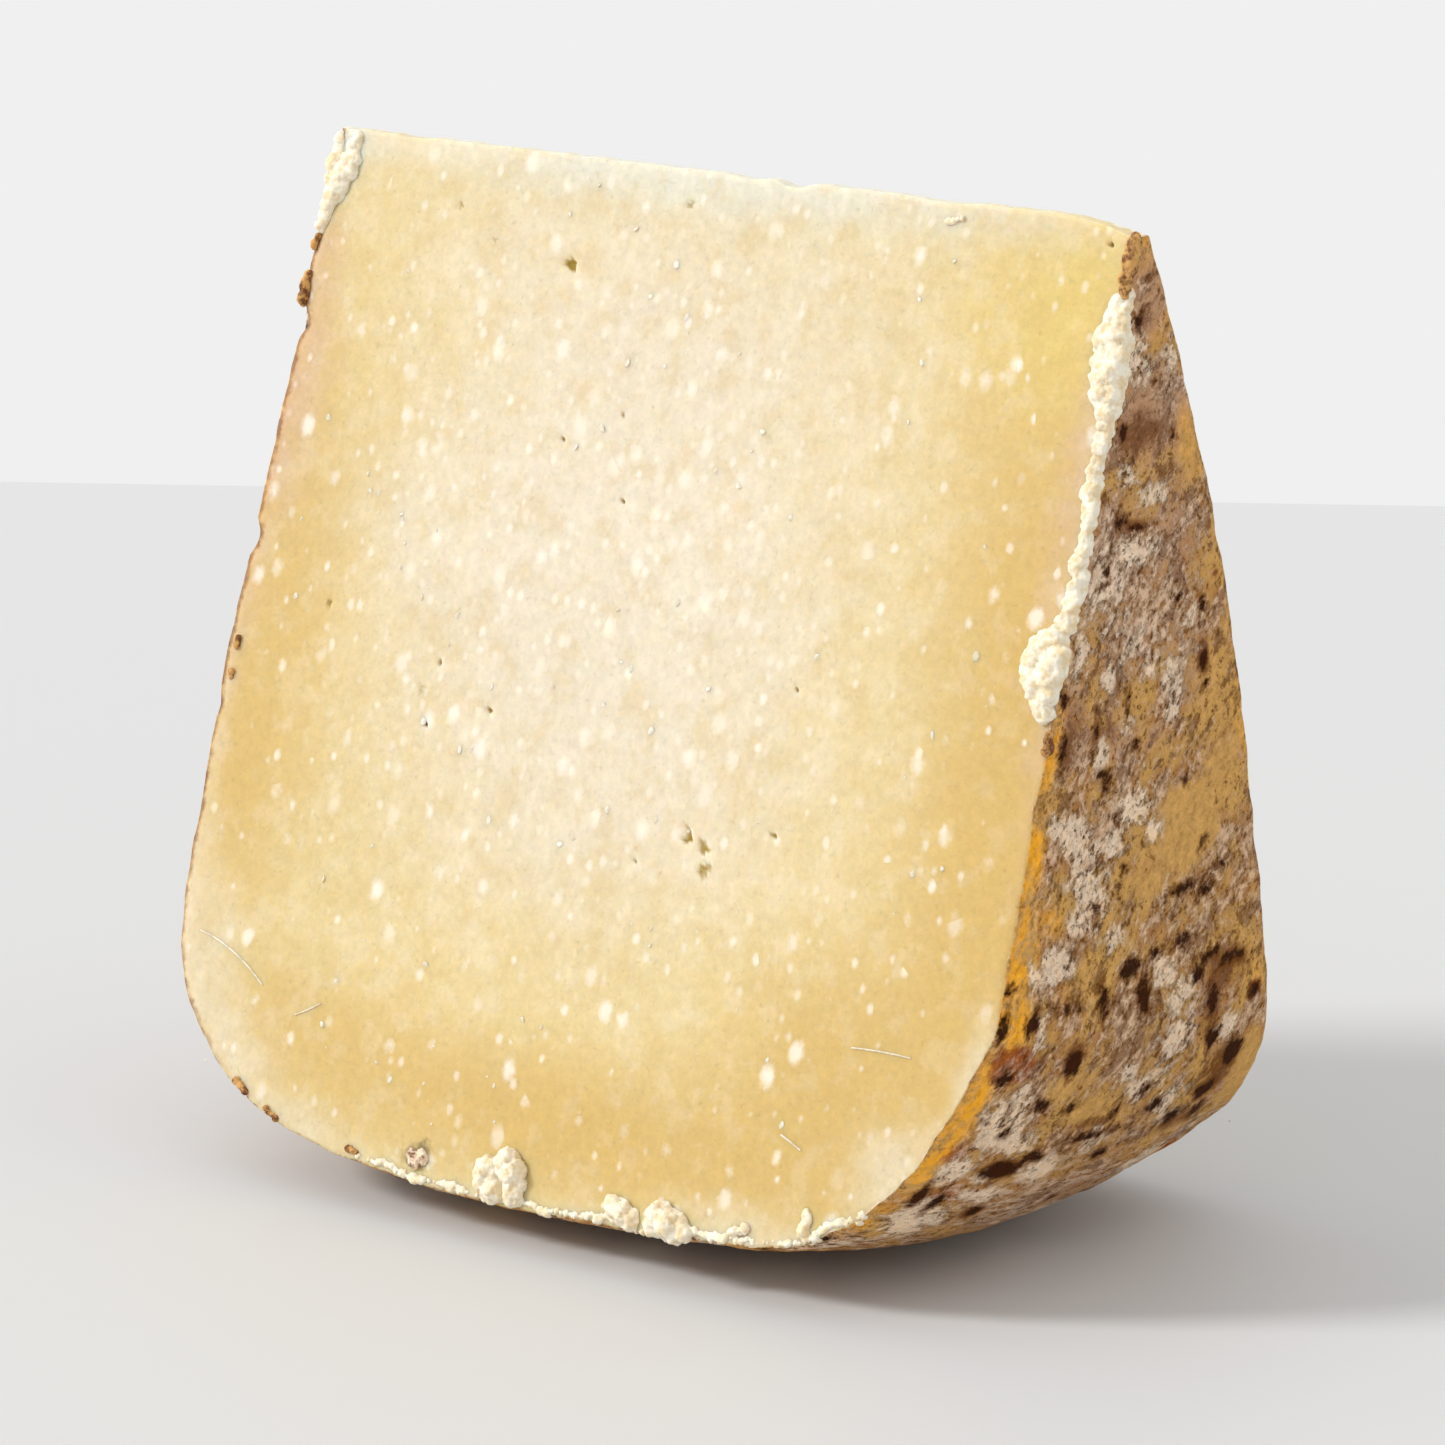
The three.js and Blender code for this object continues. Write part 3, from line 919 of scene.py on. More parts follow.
def paste_clouds(recipe, look, colour):
    """The colour under faint warm and milky clouds and a fine mottling"""
    marbling = recipe.cloud(MARBLING, 4.0, 0.62)
    warm = recipe.times(recipe.step(marbling, 0.50, 0.36), WARM_COVER)
    milk = recipe.calc("MULTIPLY_ADD", recipe.mark("golden"), MILKY_LOSS, MILKY_COVER)
    milky = recipe.times(recipe.step(marbling, 0.50, 0.64), milk)
    colour = recipe.mix(warm, colour, linear(look.golden))
    colour = recipe.mix(milky, colour, linear(look.dot))
    fine = recipe.times(recipe.cloud(0.9 * MM, 3.0, 0.68), 0.30)
    broad = recipe.times(recipe.cloud(12 * MM, 3.0), 0.08)
    return recipe.tinted(colour, recipe.sums(0.81, fine, broad))


def paste_dots(recipe, look, colour):
    """The colour under soft pale dots, which crowd in the creamy middle"""
    crowd = recipe.step(recipe.shifted(recipe.mark("cream"), recipe.cloud(9 * MM), 1.1), 0.0, 1.0)
    dragged = recipe.stretched(math.pi / 2, DOT_STRETCH)
    for size, widest, chance, strength in DOTS:
        near, has_one, wide, clear = recipe.cells(size, dragged)
        radius = recipe.calc("MULTIPLY_ADD", wide, widest * 0.6, widest * 0.5)
        ragged = recipe.shifted(near, recipe.cloud(0.7 * MM, 3.0, 0.6), DOT_RAGGEDNESS)
        round_dot = recipe.step(recipe.calc("SUBTRACT", radius, ragged), -0.12, 0.20)
        chosen = recipe.calc("MULTIPLY_ADD", crowd, DOT_CROWDING, has_one)
        shown = recipe.step(chosen, chance + 0.1, chance + 0.2)
        clearness = recipe.calc("MULTIPLY_ADD", clear, 0.6, 0.4)
        dots = recipe.times(recipe.times(round_dot, shown), recipe.times(clearness, strength))
        colour = recipe.mix(dots, colour, linear(look.dot))
    return colour


def paste_colour(recipe, look):
    """Cream in the middle, golden towards the rind, with soft pale dots and small holes, whose insides are
    partly their own yellow and partly painted shade
    """
    colour = linear(look.butter)
    for name, reach, size in PASTE_BREAKUP:
        amount = recipe.step(recipe.shifted(recipe.mark(name), recipe.cloud(size), reach), *TONE_LIMITS)
        colour = recipe.mix(amount, colour, linear(getattr(look, name)))
    colour = paste_clouds(recipe, look, colour)
    colour = paste_dots(recipe, look, colour)
    # Inside the holes: their own yellow with painted shade, fuller in deeper holes
    hole = recipe.shifted(recipe.mark("hole"), recipe.cloud(0.5 * MM), 0.5)
    return recipe.mix(recipe.step(hole, 0.15, 0.85), colour, linear(look.hole_colour_and_shade))


# The rind's patches: how far noise shifts them, the values at which they are absent and full, and how
# strongly they then cover
RIND_PATCHES = {
    "straw": (1.2, 0.30, 0.55, 1.0),
    "amber": (1.1, 0.15, 0.95, 1.0),
    "dusk": (1.6, 0.20, 0.60, 0.8),
    "russet": (1.0, 0.30, 0.60, 0.9),
    "brown": (3.0, 0.42, 0.95, 0.9),
    "mould": (3.0, 0.33, 0.78, 1.0),
}
# The rind's patterns that come from noise alone: the noise at which they are absent and full, and how
# strongly they then cover
RIND_NOISES = {
    "tan": (0.40, 0.60, 1.0),
    "straw in amber": (0.40, 0.62, 1.0),
    "blotches": (0.51, 0.60, 0.72),
    "unbroken mould": (0.60, 0.47, 0.42),
    "veil": (0.46, 0.60, 0.46),
    "specks": (0.46, 0.39, 0.7),
}
BROKEN_MOULD = 0.5  # how strongly mould covers where noise breaks it up
SPOT_RAGGEDNESS = 2.2  # millimetres that noise shifts a dark spot's rim
SPOT_HALO = (0.7, -0.1)  # millimetres from a spot's rim where its brown halo is absent and full
SPOT_CORE = (0.05, -0.35)  # the same for its dark middle
SLANT_STRETCH = 1.5  # how much longer than wide the patterns are on the flat sides
RIM_STRETCH = 2.6  # and on the rim
HALO_COVER, CORE_COVER = 0.75, 0.95  # how strongly halo and dark middle cover
# The same noises also raise the rind's relief, so this lightening and darkening is partly random tone and
# partly painted shade in the low places
TONE_AND_SHADE_BASE, TONE_AND_SHADE_TINY, TONE_AND_SHADE_FINE = 0.10, 0.6, 1.45  # the rind's brightness, and its noises' shares
DARKEST = 0.4  # the grain darkens the rind's colour to no less than this share


def rind_colour(recipe, look):
    """Tan and amber ground under brown mottling, dark spots and grey-white mould; colour and height"""
    slanting = recipe.stretched(SPOT_SLANT, SLANT_STRETCH)
    around = recipe.stretched(0.0, RIM_STRETCH)
    rim = recipe.mark("rim")

    def streaks(size, detail, rough):
        flat = recipe.cloud(size, detail, rough, slanting)
        round_rim = recipe.cloud(size, detail, rough, around)
        return recipe.blend(rim, flat, round_rim)

    def patches(name, breakup):
        reach, absent, full, cover = RIND_PATCHES[name]
        amount = recipe.step(recipe.shifted(recipe.mark(name), breakup, reach), absent, full)
        return recipe.times(amount, cover)

    def pattern(name, value):
        absent, full, cover = RIND_NOISES[name]
        return recipe.times(recipe.step(value, absent, full), cover)

    broad = streaks(5 * MM, 3.0, 0.6)
    middle = streaks(2.0 * MM, 4.0, 0.68)
    fine = streaks(0.8 * MM, 4.0, 0.72)
    tiny = recipe.cloud(0.55 * MM, 3.0, 0.65)
    ragged = recipe.blend(0.6, middle, fine)
    finest = recipe.blend(0.5, fine, tiny)

    clean = patches("straw", middle)
    orange = patches("amber", ragged)
    bare = recipe.calc("SUBTRACT", 1.0, recipe.calc("MAXIMUM", clean, orange))
    ground = recipe.mix(pattern("tan", broad), linear(look.ochre), linear(look.tan))
    ground = recipe.mix(clean, ground, linear(look.straw))
    ground = recipe.mix(patches("dusk", ragged), ground, linear(look.dusk))
    ripe = recipe.mix(pattern("straw in amber", middle), linear(look.amber), linear(look.straw))
    ground = recipe.mix(orange, ground, ripe)
    ground = recipe.mix(patches("russet", middle), ground, linear(look.russet))
    blotches = recipe.times(pattern("blotches", middle), bare)
    brown = recipe.calc("MAXIMUM", patches("brown", ragged), blotches)
    ground = recipe.mix(brown, ground, linear(look.umber))

    unbroken = recipe.calc("ADD", pattern("unbroken mould", finest), BROKEN_MOULD)
    mould = recipe.times(patches("mould", ragged), unbroken)
    unstained = recipe.times(bare, recipe.calc("SUBTRACT", 1.0, brown))
    veil = recipe.times(pattern("veil", recipe.shifted(ragged, broad, 0.6)), unstained)
    mould = recipe.calc("MAXIMUM", mould, veil)
    colour = recipe.mix(mould, ground, linear(look.mould))

    specks = recipe.times(pattern("specks", finest), bare)
    colour = recipe.mix(specks, colour, linear(look.umber))
    spot_edge = recipe.shifted(recipe.mark("spot_mm"), fine, SPOT_RAGGEDNESS)
    halo = recipe.times(recipe.step(spot_edge, *SPOT_HALO), HALO_COVER)
    colour = recipe.mix(halo, colour, linear(look.umber))
    spots = recipe.step(spot_edge, *SPOT_CORE)
    colour = recipe.mix(recipe.times(spots, CORE_COVER), colour, linear(look.spot))
    # Lighter where the relief stands up and darker where it lies low: random tone and painted shade in one
    grain = recipe.sums(TONE_AND_SHADE_BASE, recipe.times(tiny, TONE_AND_SHADE_TINY), recipe.times(fine, TONE_AND_SHADE_FINE))
    colour = recipe.tinted(colour, recipe.calc("MAXIMUM", grain, DARKEST))

    # Mould stands out, while spots and brown patches lie low
    height = recipe.sums(
        recipe.times(mould, 0.6), recipe.times(spots, -0.6), recipe.times(brown, -0.4),
        recipe.times(fine, 1.1), recipe.times(tiny, 0.6))
    return colour, height


# Millimetres from the cut edge, positive on the rind
EDGE_RAGGEDNESS = 1.3  # how far noise moves the line where paste and rind meet
RIND_START, RIND_FULL = -0.22, 0.1  # where the rind's colour begins and is full
LINE_START, LINE_FULL, LINE_FADE, LINE_END = -0.7, -0.1, 0.0, 0.5  # the brown line along that edge
LINE_COVER, LINE_COVER_LEFT = 0.1, 0.6  # how strongly it covers, and how much more on the left

PASTE_ROUGHNESS, RIND_ROUGHNESS = 0.46, 0.82
FAINT_SHINE = 0.06  # specular level of both, which are dry
PASTE_SCATTER, RIND_SCATTER = 0.85, 0.05  # subsurface weight
SCATTER_COLOURS = (1.0, 0.62, 0.3)  # red light goes deepest
SCATTER_DEPTH = 2.2 * MM
PASTE_BUMP = 0.16 * MM
RIND_BUMP = 0.7 * MM


def cheese_material(paste, rind):
    """Paste and rind in one material, meeting in a ragged line at the cut edge"""
    recipe = Recipe("Cheese")
    breakup = recipe.cloud(1.3 * MM, 4.0, 0.65)
    edge = recipe.shifted(recipe.mark("edge_mm"), breakup, EDGE_RAGGEDNESS)
    on_rind = recipe.step(edge, RIND_START, RIND_FULL)
    paste_tint = paste_colour(recipe, paste)
    rind_tint, rind_relief = rind_colour(recipe, rind)
    colour = recipe.mix(on_rind, paste_tint, rind_tint)
    line = recipe.times(
        recipe.step(edge, LINE_START, LINE_FULL), recipe.step(edge, LINE_END, LINE_FADE))
    cover = recipe.calc("MULTIPLY_ADD", recipe.mark("left"), LINE_COVER_LEFT, LINE_COVER)
    colour = recipe.mix(recipe.times(line, cover), colour, linear(rind.umber))
    grain = recipe.times(recipe.cloud(0.5 * MM, 2.0), 0.25)
    curd = recipe.times(recipe.cloud(1.8 * MM, 3.0), 0.55)
    smooth = recipe.bump(recipe.sums(grain, curd), PASTE_BUMP, 0.5)
    coarse = recipe.bump(rind_relief, RIND_BUMP, 0.9)
    return recipe.finish(
        Base_Color=colour,
        Roughness=recipe.blend(on_rind, PASTE_ROUGHNESS, RIND_ROUGHNESS),
        Normal=recipe.turn(on_rind, smooth, coarse),
        Subsurface_Weight=recipe.blend(on_rind, PASTE_SCATTER, RIND_SCATTER),
        Subsurface_Radius=SCATTER_COLOURS,
        Subsurface_Scale=SCATTER_DEPTH,
        Specular_IOR_Level=FAINT_SHINE,
    )


def crumb_material(name, shown, deep):
    """Dry crumbs, paler on their tops: noise lays a darker second colour between the tops, which for the
    cream crumbs is painted shade and for the other pieces a tone of their own
    """
    recipe = Recipe(name)
    # Noise picks the lit tops, which keep the shown colour; the rest gets the second colour, painted shade
    # for the cream crumbs
    lit_tops_and_tone = recipe.step(recipe.cloud(1.1 * MM, 4.0, 0.7), 0.62, 0.4)
    colour = recipe.mix(lit_tops_and_tone, linear(deep), linear(shown))
    rough = recipe.cloud(0.35 * MM, 3.0, 0.6)
    return recipe.finish(
        Base_Color=recipe.tinted(colour, recipe.calc("MULTIPLY_ADD", rough, 0.2, 0.9)),
        Roughness=0.8,
        Normal=recipe.bump(rough, 0.12 * MM, 0.8),
        Subsurface_Weight=0.3,
        Subsurface_Radius=(1.0, 0.8, 0.6),
        Subsurface_Scale=0.6 * MM,
    )


# ---------------------------------------------------------------------------------------------------
# Making and keeping pieces
# ---------------------------------------------------------------------------------------------------

def keep(piece):
    """Hands a finished piece to the frame"""
    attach(piece, BODY)
    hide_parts(CAD_NODE)


def add_object(name, mesh):
    piece = bpy.data.objects.new(name, mesh)
    bpy.context.scene.collection.objects.link(piece)
    return piece


def grown(name, mesh, tree, values):
    """The plain mesh that a node tree makes of another mesh"""
    piece = add_object(name, mesh)
    modifier = piece.modifiers.new("Grow", "NODES")
    modifier.node_group = tree
    for item in tree.interface.items_tree:
        if item.item_type == "SOCKET" and item.name in values:
            modifier[item.identifier] = values[item.name]
    piece.update_tag()
    depsgraph = bpy.context.evaluated_depsgraph_get()
    made = bpy.data.meshes.new_from_object(
        piece.evaluated_get(depsgraph), preserve_all_data_layers=True, depsgraph=depsgraph)
    piece.modifiers.remove(modifier)
    piece.data = made
    made.name = name
    return piece


def point_mesh(name, points, numbers=None, vectors=None):
    """Loose points with numbers and vectors stored on them"""
    mesh = bpy.data.meshes.new(name)
    mesh.from_pydata([tuple(point) for point in points], [], [])
    for key, values in (numbers or {}).items():
        mesh.attributes.new(key, "FLOAT", "POINT").data.foreach_set("value", np.array(values, np.float32))
    for key, values in (vectors or {}).items():
        flat = np.array(values, np.float32).ravel()
        mesh.attributes.new(key, "FLOAT_VECTOR", "POINT").data.foreach_set("vector", flat)
    return mesh


class Tree:
    """Builds a geometry node tree with named inputs"""

    def __init__(self, name, **inputs):
        self.group = bpy.data.node_groups.new(name, "GeometryNodeTree")
        face = self.group.interface
        face.new_socket("Geometry", in_out="INPUT", socket_type="NodeSocketGeometry")
        for key, (kind, default) in inputs.items():
            socket = face.new_socket(key.replace("_", " "), in_out="INPUT", socket_type="NodeSocket" + kind)
            if default is not None:
                socket.default_value = default
        face.new_socket("Geometry", in_out="OUTPUT", socket_type="NodeSocketGeometry")
        self.inputs = self.group.nodes.new("NodeGroupInput").outputs
        self.result = self.group.nodes.new("NodeGroupOutput").inputs[0]

    def add(self, kind, inputs=None, **settings):
        made = self.group.nodes.new(kind)
        for name, value in settings.items():
            setattr(made, name, value)
        for key, value in (inputs or {}).items():
            if isinstance(value, bpy.types.NodeSocket):
                self.group.links.new(value, made.inputs[key])
            else:
                made.inputs[key].default_value = value
        return made

    def number(self, name):
        return self.add("GeometryNodeInputNamedAttribute", {"Name": name}, data_type="FLOAT").outputs[0]

    def vector(self, name):
        made = self.add("GeometryNodeInputNamedAttribute", {"Name": name}, data_type="FLOAT_VECTOR")
        return made.outputs[0]

    def end(self, geometry):
        """Ends the tree as every tree here ends"""
        real = self.add("GeometryNodeRealizeInstances", {"Geometry": geometry}).outputs[0]
        smooth = self.add("GeometryNodeSetShadeSmooth", {"Geometry": real}).outputs[0]
        inputs = {"Geometry": smooth, "Material": self.inputs["Material"]}
        painted = self.add("GeometryNodeSetMaterial", inputs).outputs[0]
        self.group.links.new(painted, self.result)
        return self.group


SKIN_LEVEL = 0.1  # share of the balls' fog at which their skin is drawn


def crumb_tree():
    """Balls in millimetres, melted together and roughened, as crumbs in metres"""
    tree = Tree(
        "Crumbs", Grain=("Float", 0.2), Roughness=("Float", 0.3), Rough_Size=("Float", 1.0),
        Material=("Material", None))
    points = tree.add("GeometryNodeMeshToPoints", {"Mesh": tree.inputs["Geometry"]}).outputs[0]
    volume = tree.add(
        "GeometryNodePointsToVolume",
        {"Points": points, "Voxel Size": tree.inputs["Grain"], "Radius": tree.number("size")},
        resolution_mode="VOXEL_SIZE").outputs[0]
    lumps = tree.add(
        "GeometryNodeVolumeToMesh",
        {"Volume": volume, "Voxel Size": tree.inputs["Grain"], "Threshold": SKIN_LEVEL},
        resolution_mode="VOXEL_SIZE").outputs[0]
    inverse = tree.add("ShaderNodeMath", {0: 1.0, 1: tree.inputs["Rough Size"]}, operation="DIVIDE")
    rough = tree.add("ShaderNodeTexNoise", {"Scale": inverse.outputs[0], "Detail": 3.0}).outputs["Fac"]
    centred = tree.add("ShaderNodeMath", {0: rough, 1: 0.5}, operation="SUBTRACT").outputs[0]
    amount = tree.add("ShaderNodeMath", {0: centred, 1: tree.inputs["Roughness"]}, operation="MULTIPLY")
    normal = tree.add("GeometryNodeInputNormal").outputs[0]
    push = tree.add("ShaderNodeVectorMath", {0: normal, "Scale": amount.outputs[0]}, operation="SCALE")
    moved = tree.add("GeometryNodeSetPosition", {"Geometry": lumps, "Offset": push.outputs[0]}).outputs[0]
    small = tree.add("GeometryNodeTransform", {"Geometry": moved, "Scale": (MM, MM, MM)}).outputs[0]
    return tree.end(small)


def crystal_tree():
    """A small flat grain on every point, lying on the cut"""
    tree = Tree("Crystals", Flatness=("Float", 0.16), Seed=("Int", 3), Material=("Material", None))
    points = tree.add("GeometryNodeMeshToPoints", {"Mesh": tree.inputs["Geometry"]}).outputs[0]
    grain = tree.add("GeometryNodeMeshUVSphere", {"Segments": 8, "Rings": 5, "Radius": 1.0}).outputs[0]
    facing = tree.add(
        "FunctionNodeAlignRotationToVector", {"Vector": tree.vector("facing")}, axis="Z").outputs[0]
    shortest, longest = 0.8, 1.7  # of the grains, for a width of 1
    longer = tree.add(
        "FunctionNodeRandomValue", {2: shortest, 3: longest, "Seed": tree.inputs["Seed"]},
        data_type="FLOAT").outputs[1]
    shape = tree.add(
        "ShaderNodeCombineXYZ", {"X": 1.0, "Y": longer, "Z": tree.inputs["Flatness"]}).outputs[0]
    scale = tree.add("ShaderNodeVectorMath", {0: shape, "Scale": tree.number("size")}, operation="SCALE")
    grains = tree.add(
        "GeometryNodeInstanceOnPoints",
        {"Points": points, "Instance": grain, "Rotation": facing, "Scale": scale.outputs[0]}).outputs[0]
    return tree.end(grains)


def knife_tree():
    """Fine ridges along the lines of a mesh"""
    tree = Tree("Knife marks", Radius=("Float", 0.09 * MM), Material=("Material", None))
    lines = tree.add("GeometryNodeMeshToCurve", {"Mesh": tree.inputs["Geometry"]}).outputs[0]
    profile = tree.add(
        "GeometryNodeCurvePrimitiveCircle", {"Resolution": 6, "Radius": tree.inputs["Radius"]}).outputs[0]
    ridge = tree.add(
        "GeometryNodeCurveToMesh", {"Curve": lines, "Profile Curve": profile, "Fill Caps": True}).outputs[0]
    return tree.end(ridge)


def on_cut(sizes, side, x, depth, proud=0.0):
    """The point on a cut at (x, depth), standing out by some millimetres"""
    share = float(side)
    normal = cut_normal(sizes, side)
    point = placed(sizes, np.array([[x, depth]]), share)
    height = 0.0
    if 0 < depth < RADIUS_MM:
        height = float(cut_height(sizes, point)[0])
    return Vector(point[0]) + normal * (height + proud) * MM


# ---------------------------------------------------------------------------------------------------
# The small pieces' places on the front cut: (x, depth, radius), in millimetres
# ---------------------------------------------------------------------------------------------------

# Cream rind that the knife smeared flat along the edges
RIBBON_STRANDS = (
    ((-45.4, 0.8, 0.7), (-45.9, 3.2, 1.3), (-46.9, 6.2, 1.3), (-48.2, 9.6, 0.7)),
    ((-47.9, 0.8, 0.5), (-48.2, 3.4, 1.0), (-48.8, 6.0, 0.7)),
    ((47.9, 6.2, 0.7), (46.9, 8.6, 1.1), (46.5, 11.3, 1.3), (46.8, 14.3, 1.2), (47.8, 17.0, 0.9)),
    ((48.9, 7.5, 0.8), (48.8, 10.5, 1.1), (48.8, 13.5, 1.2), (49.0, 16.5, 0.9)),
    ((48.6, 17.0, 0.9), (48.3, 19.7, 0.75), (47.9, 22.5, 0.7), (48.2, 25.2, 0.85), (48.8, 26.9, 0.65),
     (48.4, 29.3, 0.75), (48.0, 31.6, 0.8), (48.4, 34.2, 0.75), (48.0, 36.5, 0.9)),
)
# Lumps of cream paste and rind that it left behind
LUMP_STRANDS = (
    ((47.6, 37.6, 1.1), (46.0, 38.8, 1.2), (45.8, 40.6, 1.2), (46.6, 42.6, 1.3), (47.6, 44.4, 0.9)),
    ((48.2, 38.8, 1.1), (47.4, 40.6, 1.3), (48.0, 42.4, 1.2)),
    ((-5.9, 96.9, 1.1), (-4.9, 95.6, 1.2), (-4.4, 97.4, 1.2)),
    ((-2.8, 95.2, 1.2), (-1.8, 96.6, 1.3), (-1.9, 97.8, 1.0)),
    ((9.8, 96.3, 0.9), (11.0, 96.6, 1.1), (12.6, 97.4, 0.8)),
    ((14.8, 97.4, 0.9), (15.8, 96.5, 1.3), (17.4, 96.6, 1.3), (18.6, 97.2, 0.9)),
    ((24.2, 96.0, 0.5), (25.4, 95.8, 0.5)),
    ((32.0, 92.8, 0.45), (32.0, 94.6, 0.6)),
    ((27.1, 1.9, 0.3), (28.5, 1.5, 0.3)),
)
# The thin lip along the lower edge: where it starts and ends along X, and its radius
LIP = (-22.0, 38.0, 0.42)
LIP_SWELL, LIP_SWELL_LENGTH = 0.9, 2.7  # how unevenly thick it is, and over what length
LIP_LIFT, LIP_LIFT_LENGTH = 0.5, 4.1  # how far it lies from the edge, up or down by as much again
# Golden bits of rind at the corners
NUB_STRANDS = (
    ((47.8, 1.4, 0.6), (48.3, 2.8, 0.8), (48.6, 4.6, 0.7), (48.8, 6.6, 0.5)),
    ((-49.0, 14.6, 0.4), (-49.4, 15.8, 0.55), (-49.6, 17.0, 0.6), (-49.0, 17.8, 0.35)),
    ((-48.8, 51.0, 0.35), (-48.8, 51.8, 0.4)),
    ((-48.8, 54.2, 0.35), (-48.8, 54.8, 0.35)),
    ((-38.2, 93.4, 0.4), (-37.0, 94.0, 0.4)),
    ((-34.0, 95.2, 0.35), (-32.6, 95.8, 0.35)),
    ((-22.9, 97.0, 0.4), (-21.8, 97.3, 0.35)),
    ((-48.6, 10.8, 0.4), (-48.8, 12.0, 0.35)),
    ((48.6, 46.5, 0.5), (48.8, 48.0, 0.5)),
)
MOULD_STRANDS = (((-15.0, 96.0, 0.6), (-14.2, 96.9, 0.7)), ((-13.9, 95.8, 0.6), (-13.4, 96.6, 0.5)))
# Fine ridges where the knife's edge dragged
KNIFE_LINES = (
    ((-46.5, 79.7), (-41.7, 80.4), (-37.3, 83.6)),
    ((-32.5, 85.7), (-31.2, 85.1), (-29.6, 84.1)),
    ((33.5, 77.4), (36.5, 77.1), (40.2, 77.2)),
    ((27.5, 86.5), (28.6, 86.9), (30.0, 87.5)),
)
RIDGE_PROUD = 0.03  # millimetres that their middles stand out
# Where the crystals gather: (x, depth, half width, half height, share of all)
CRYSTAL_CLUSTERS = (
    (-34, 36.5, 4, 3, 0.08), (-14, 88.5, 6, 3, 0.08), (-5, 25, 22, 18, 0.34), (5, 62, 26, 22, 0.24))
CRYSTAL_SPREAD = 44  # the others lie this far to either side, in millimetres
CRYSTAL_DEPTHS = (3, 93)  # and between these depths
CRYSTAL_SUNK = 0.04  # millimetres that their middles lie under the cut
CRYSTAL_TILT = 0.25  # how unevenly they lie, for an upright of 1
SMALLEST_CRYSTAL = 0.25  # as a share of the largest
STRAND_STEP = 0.45  # millimetres between the balls of a strand
BALL_SIZES = (0.85, 1.12)  # smallest and largest share of a ball's own radius
STRAY_ACROSS, STRAY_DOWN = 0.14, 0.2  # how far balls stray along X and in depth, in radii
INSET = 0.1  # how far inside the cut's edge their middles stay, in radii
PROUD_SPREAD = 0.3  # how unevenly they stand out of the cut, in radii
LOOSE, SMEARED, GROWN = 0.2, -0.4, -0.1  # how far crumbs, ribbons and mould stand out, in radii
# The finest grain of each kind of crumb, the height of its roughness and that roughness's size
CREAM_TEXTURE = (0.17, 1.0, 0.85)
NUB_TEXTURE = (0.16, 0.5, 0.9)
MOULD_TEXTURE = (0.12, 0.5, 0.4)


class Outline:
    """The rough edge of the front cut, inside which small pieces are kept"""

    def __init__(self, sizes):
        self.line = rough_outline(sizes, 0.0)
        self.normals = outline_normals(self.line)

    def tucked(self, x, depth, margin):
        """The place, or the nearest one that lies that far inside the edge"""
        place = np.array([x, depth])
        nearest = np.linalg.norm(self.line - place, axis=1).argmin()
        outside = (place - self.line[nearest]) @ self.normals[nearest] + margin
        if outside > 0:
            place = place - self.normals[nearest] * outside
        return place


def strand(sizes, outline, places, rng, proud):
    """Balls along a line on the front cut, in millimetres, with the roughness of torn crumbs; proud is
    how far their middles stand out of the cut, as a share of their radius"""
    balls = []
    for start, end in zip(places, places[1:]):
        steps = max(1, round(math.dist(start[:2], end[:2]) / STRAND_STEP))
        for step in range(steps + (end is places[-1])):
            x, depth, radius = (a + (b - a) * step / steps for a, b in zip(start, end))
            radius *= rng.uniform(*BALL_SIZES)
            x += rng.gauss(0, STRAY_ACROSS) * radius
            depth += rng.gauss(0, STRAY_DOWN) * radius
            x, depth = outline.tucked(x, depth, INSET * radius)
            standing = proud + rng.uniform(-PROUD_SPREAD, PROUD_SPREAD)
            centre = on_cut(sizes, FRONT, x, depth, radius * standing)
            balls.append((centre / MM, radius))
    return balls


def lip_strand(outline):
    """The wavy lip along the lower edge of the front cut"""
    start, end, radius = LIP
    places = []
    for x, depth in outline.line:
        if start < x < end and depth > RADIUS_MM / 2:
            swell = 1 + LIP_SWELL * noise.noise(Vector((x / LIP_SWELL_LENGTH, 3.0, 0.0)))
            lift = LIP_LIFT + LIP_LIFT * noise.noise(Vector((x / LIP_LIFT_LENGTH, 8.0, 0.0)))
            places.append((x, depth - lift, radius * swell))
    return tuple(places)


def crumb_piece(context, name, outline, groups, seed, texture, material):
    """Adds one piece of balls melted together along strands on the front cut. The groups are pairs of
    strands and how far they stand out; the texture is one of those above, in millimetres."""
    rng = random.Random(seed)
    balls = []
    for strands, proud in groups:
        for places in strands:
            balls += strand(context.scene.cheese_sizes, outline, places, rng, proud)
    mesh = point_mesh(name + "_points", [ball[0] for ball in balls], {"size": [ball[1] for ball in balls]})
    values = dict(zip(("Grain", "Roughness", "Rough Size"), texture))
    values["Material"] = material
    keep(grown(name, mesh, crumb_tree(), values))


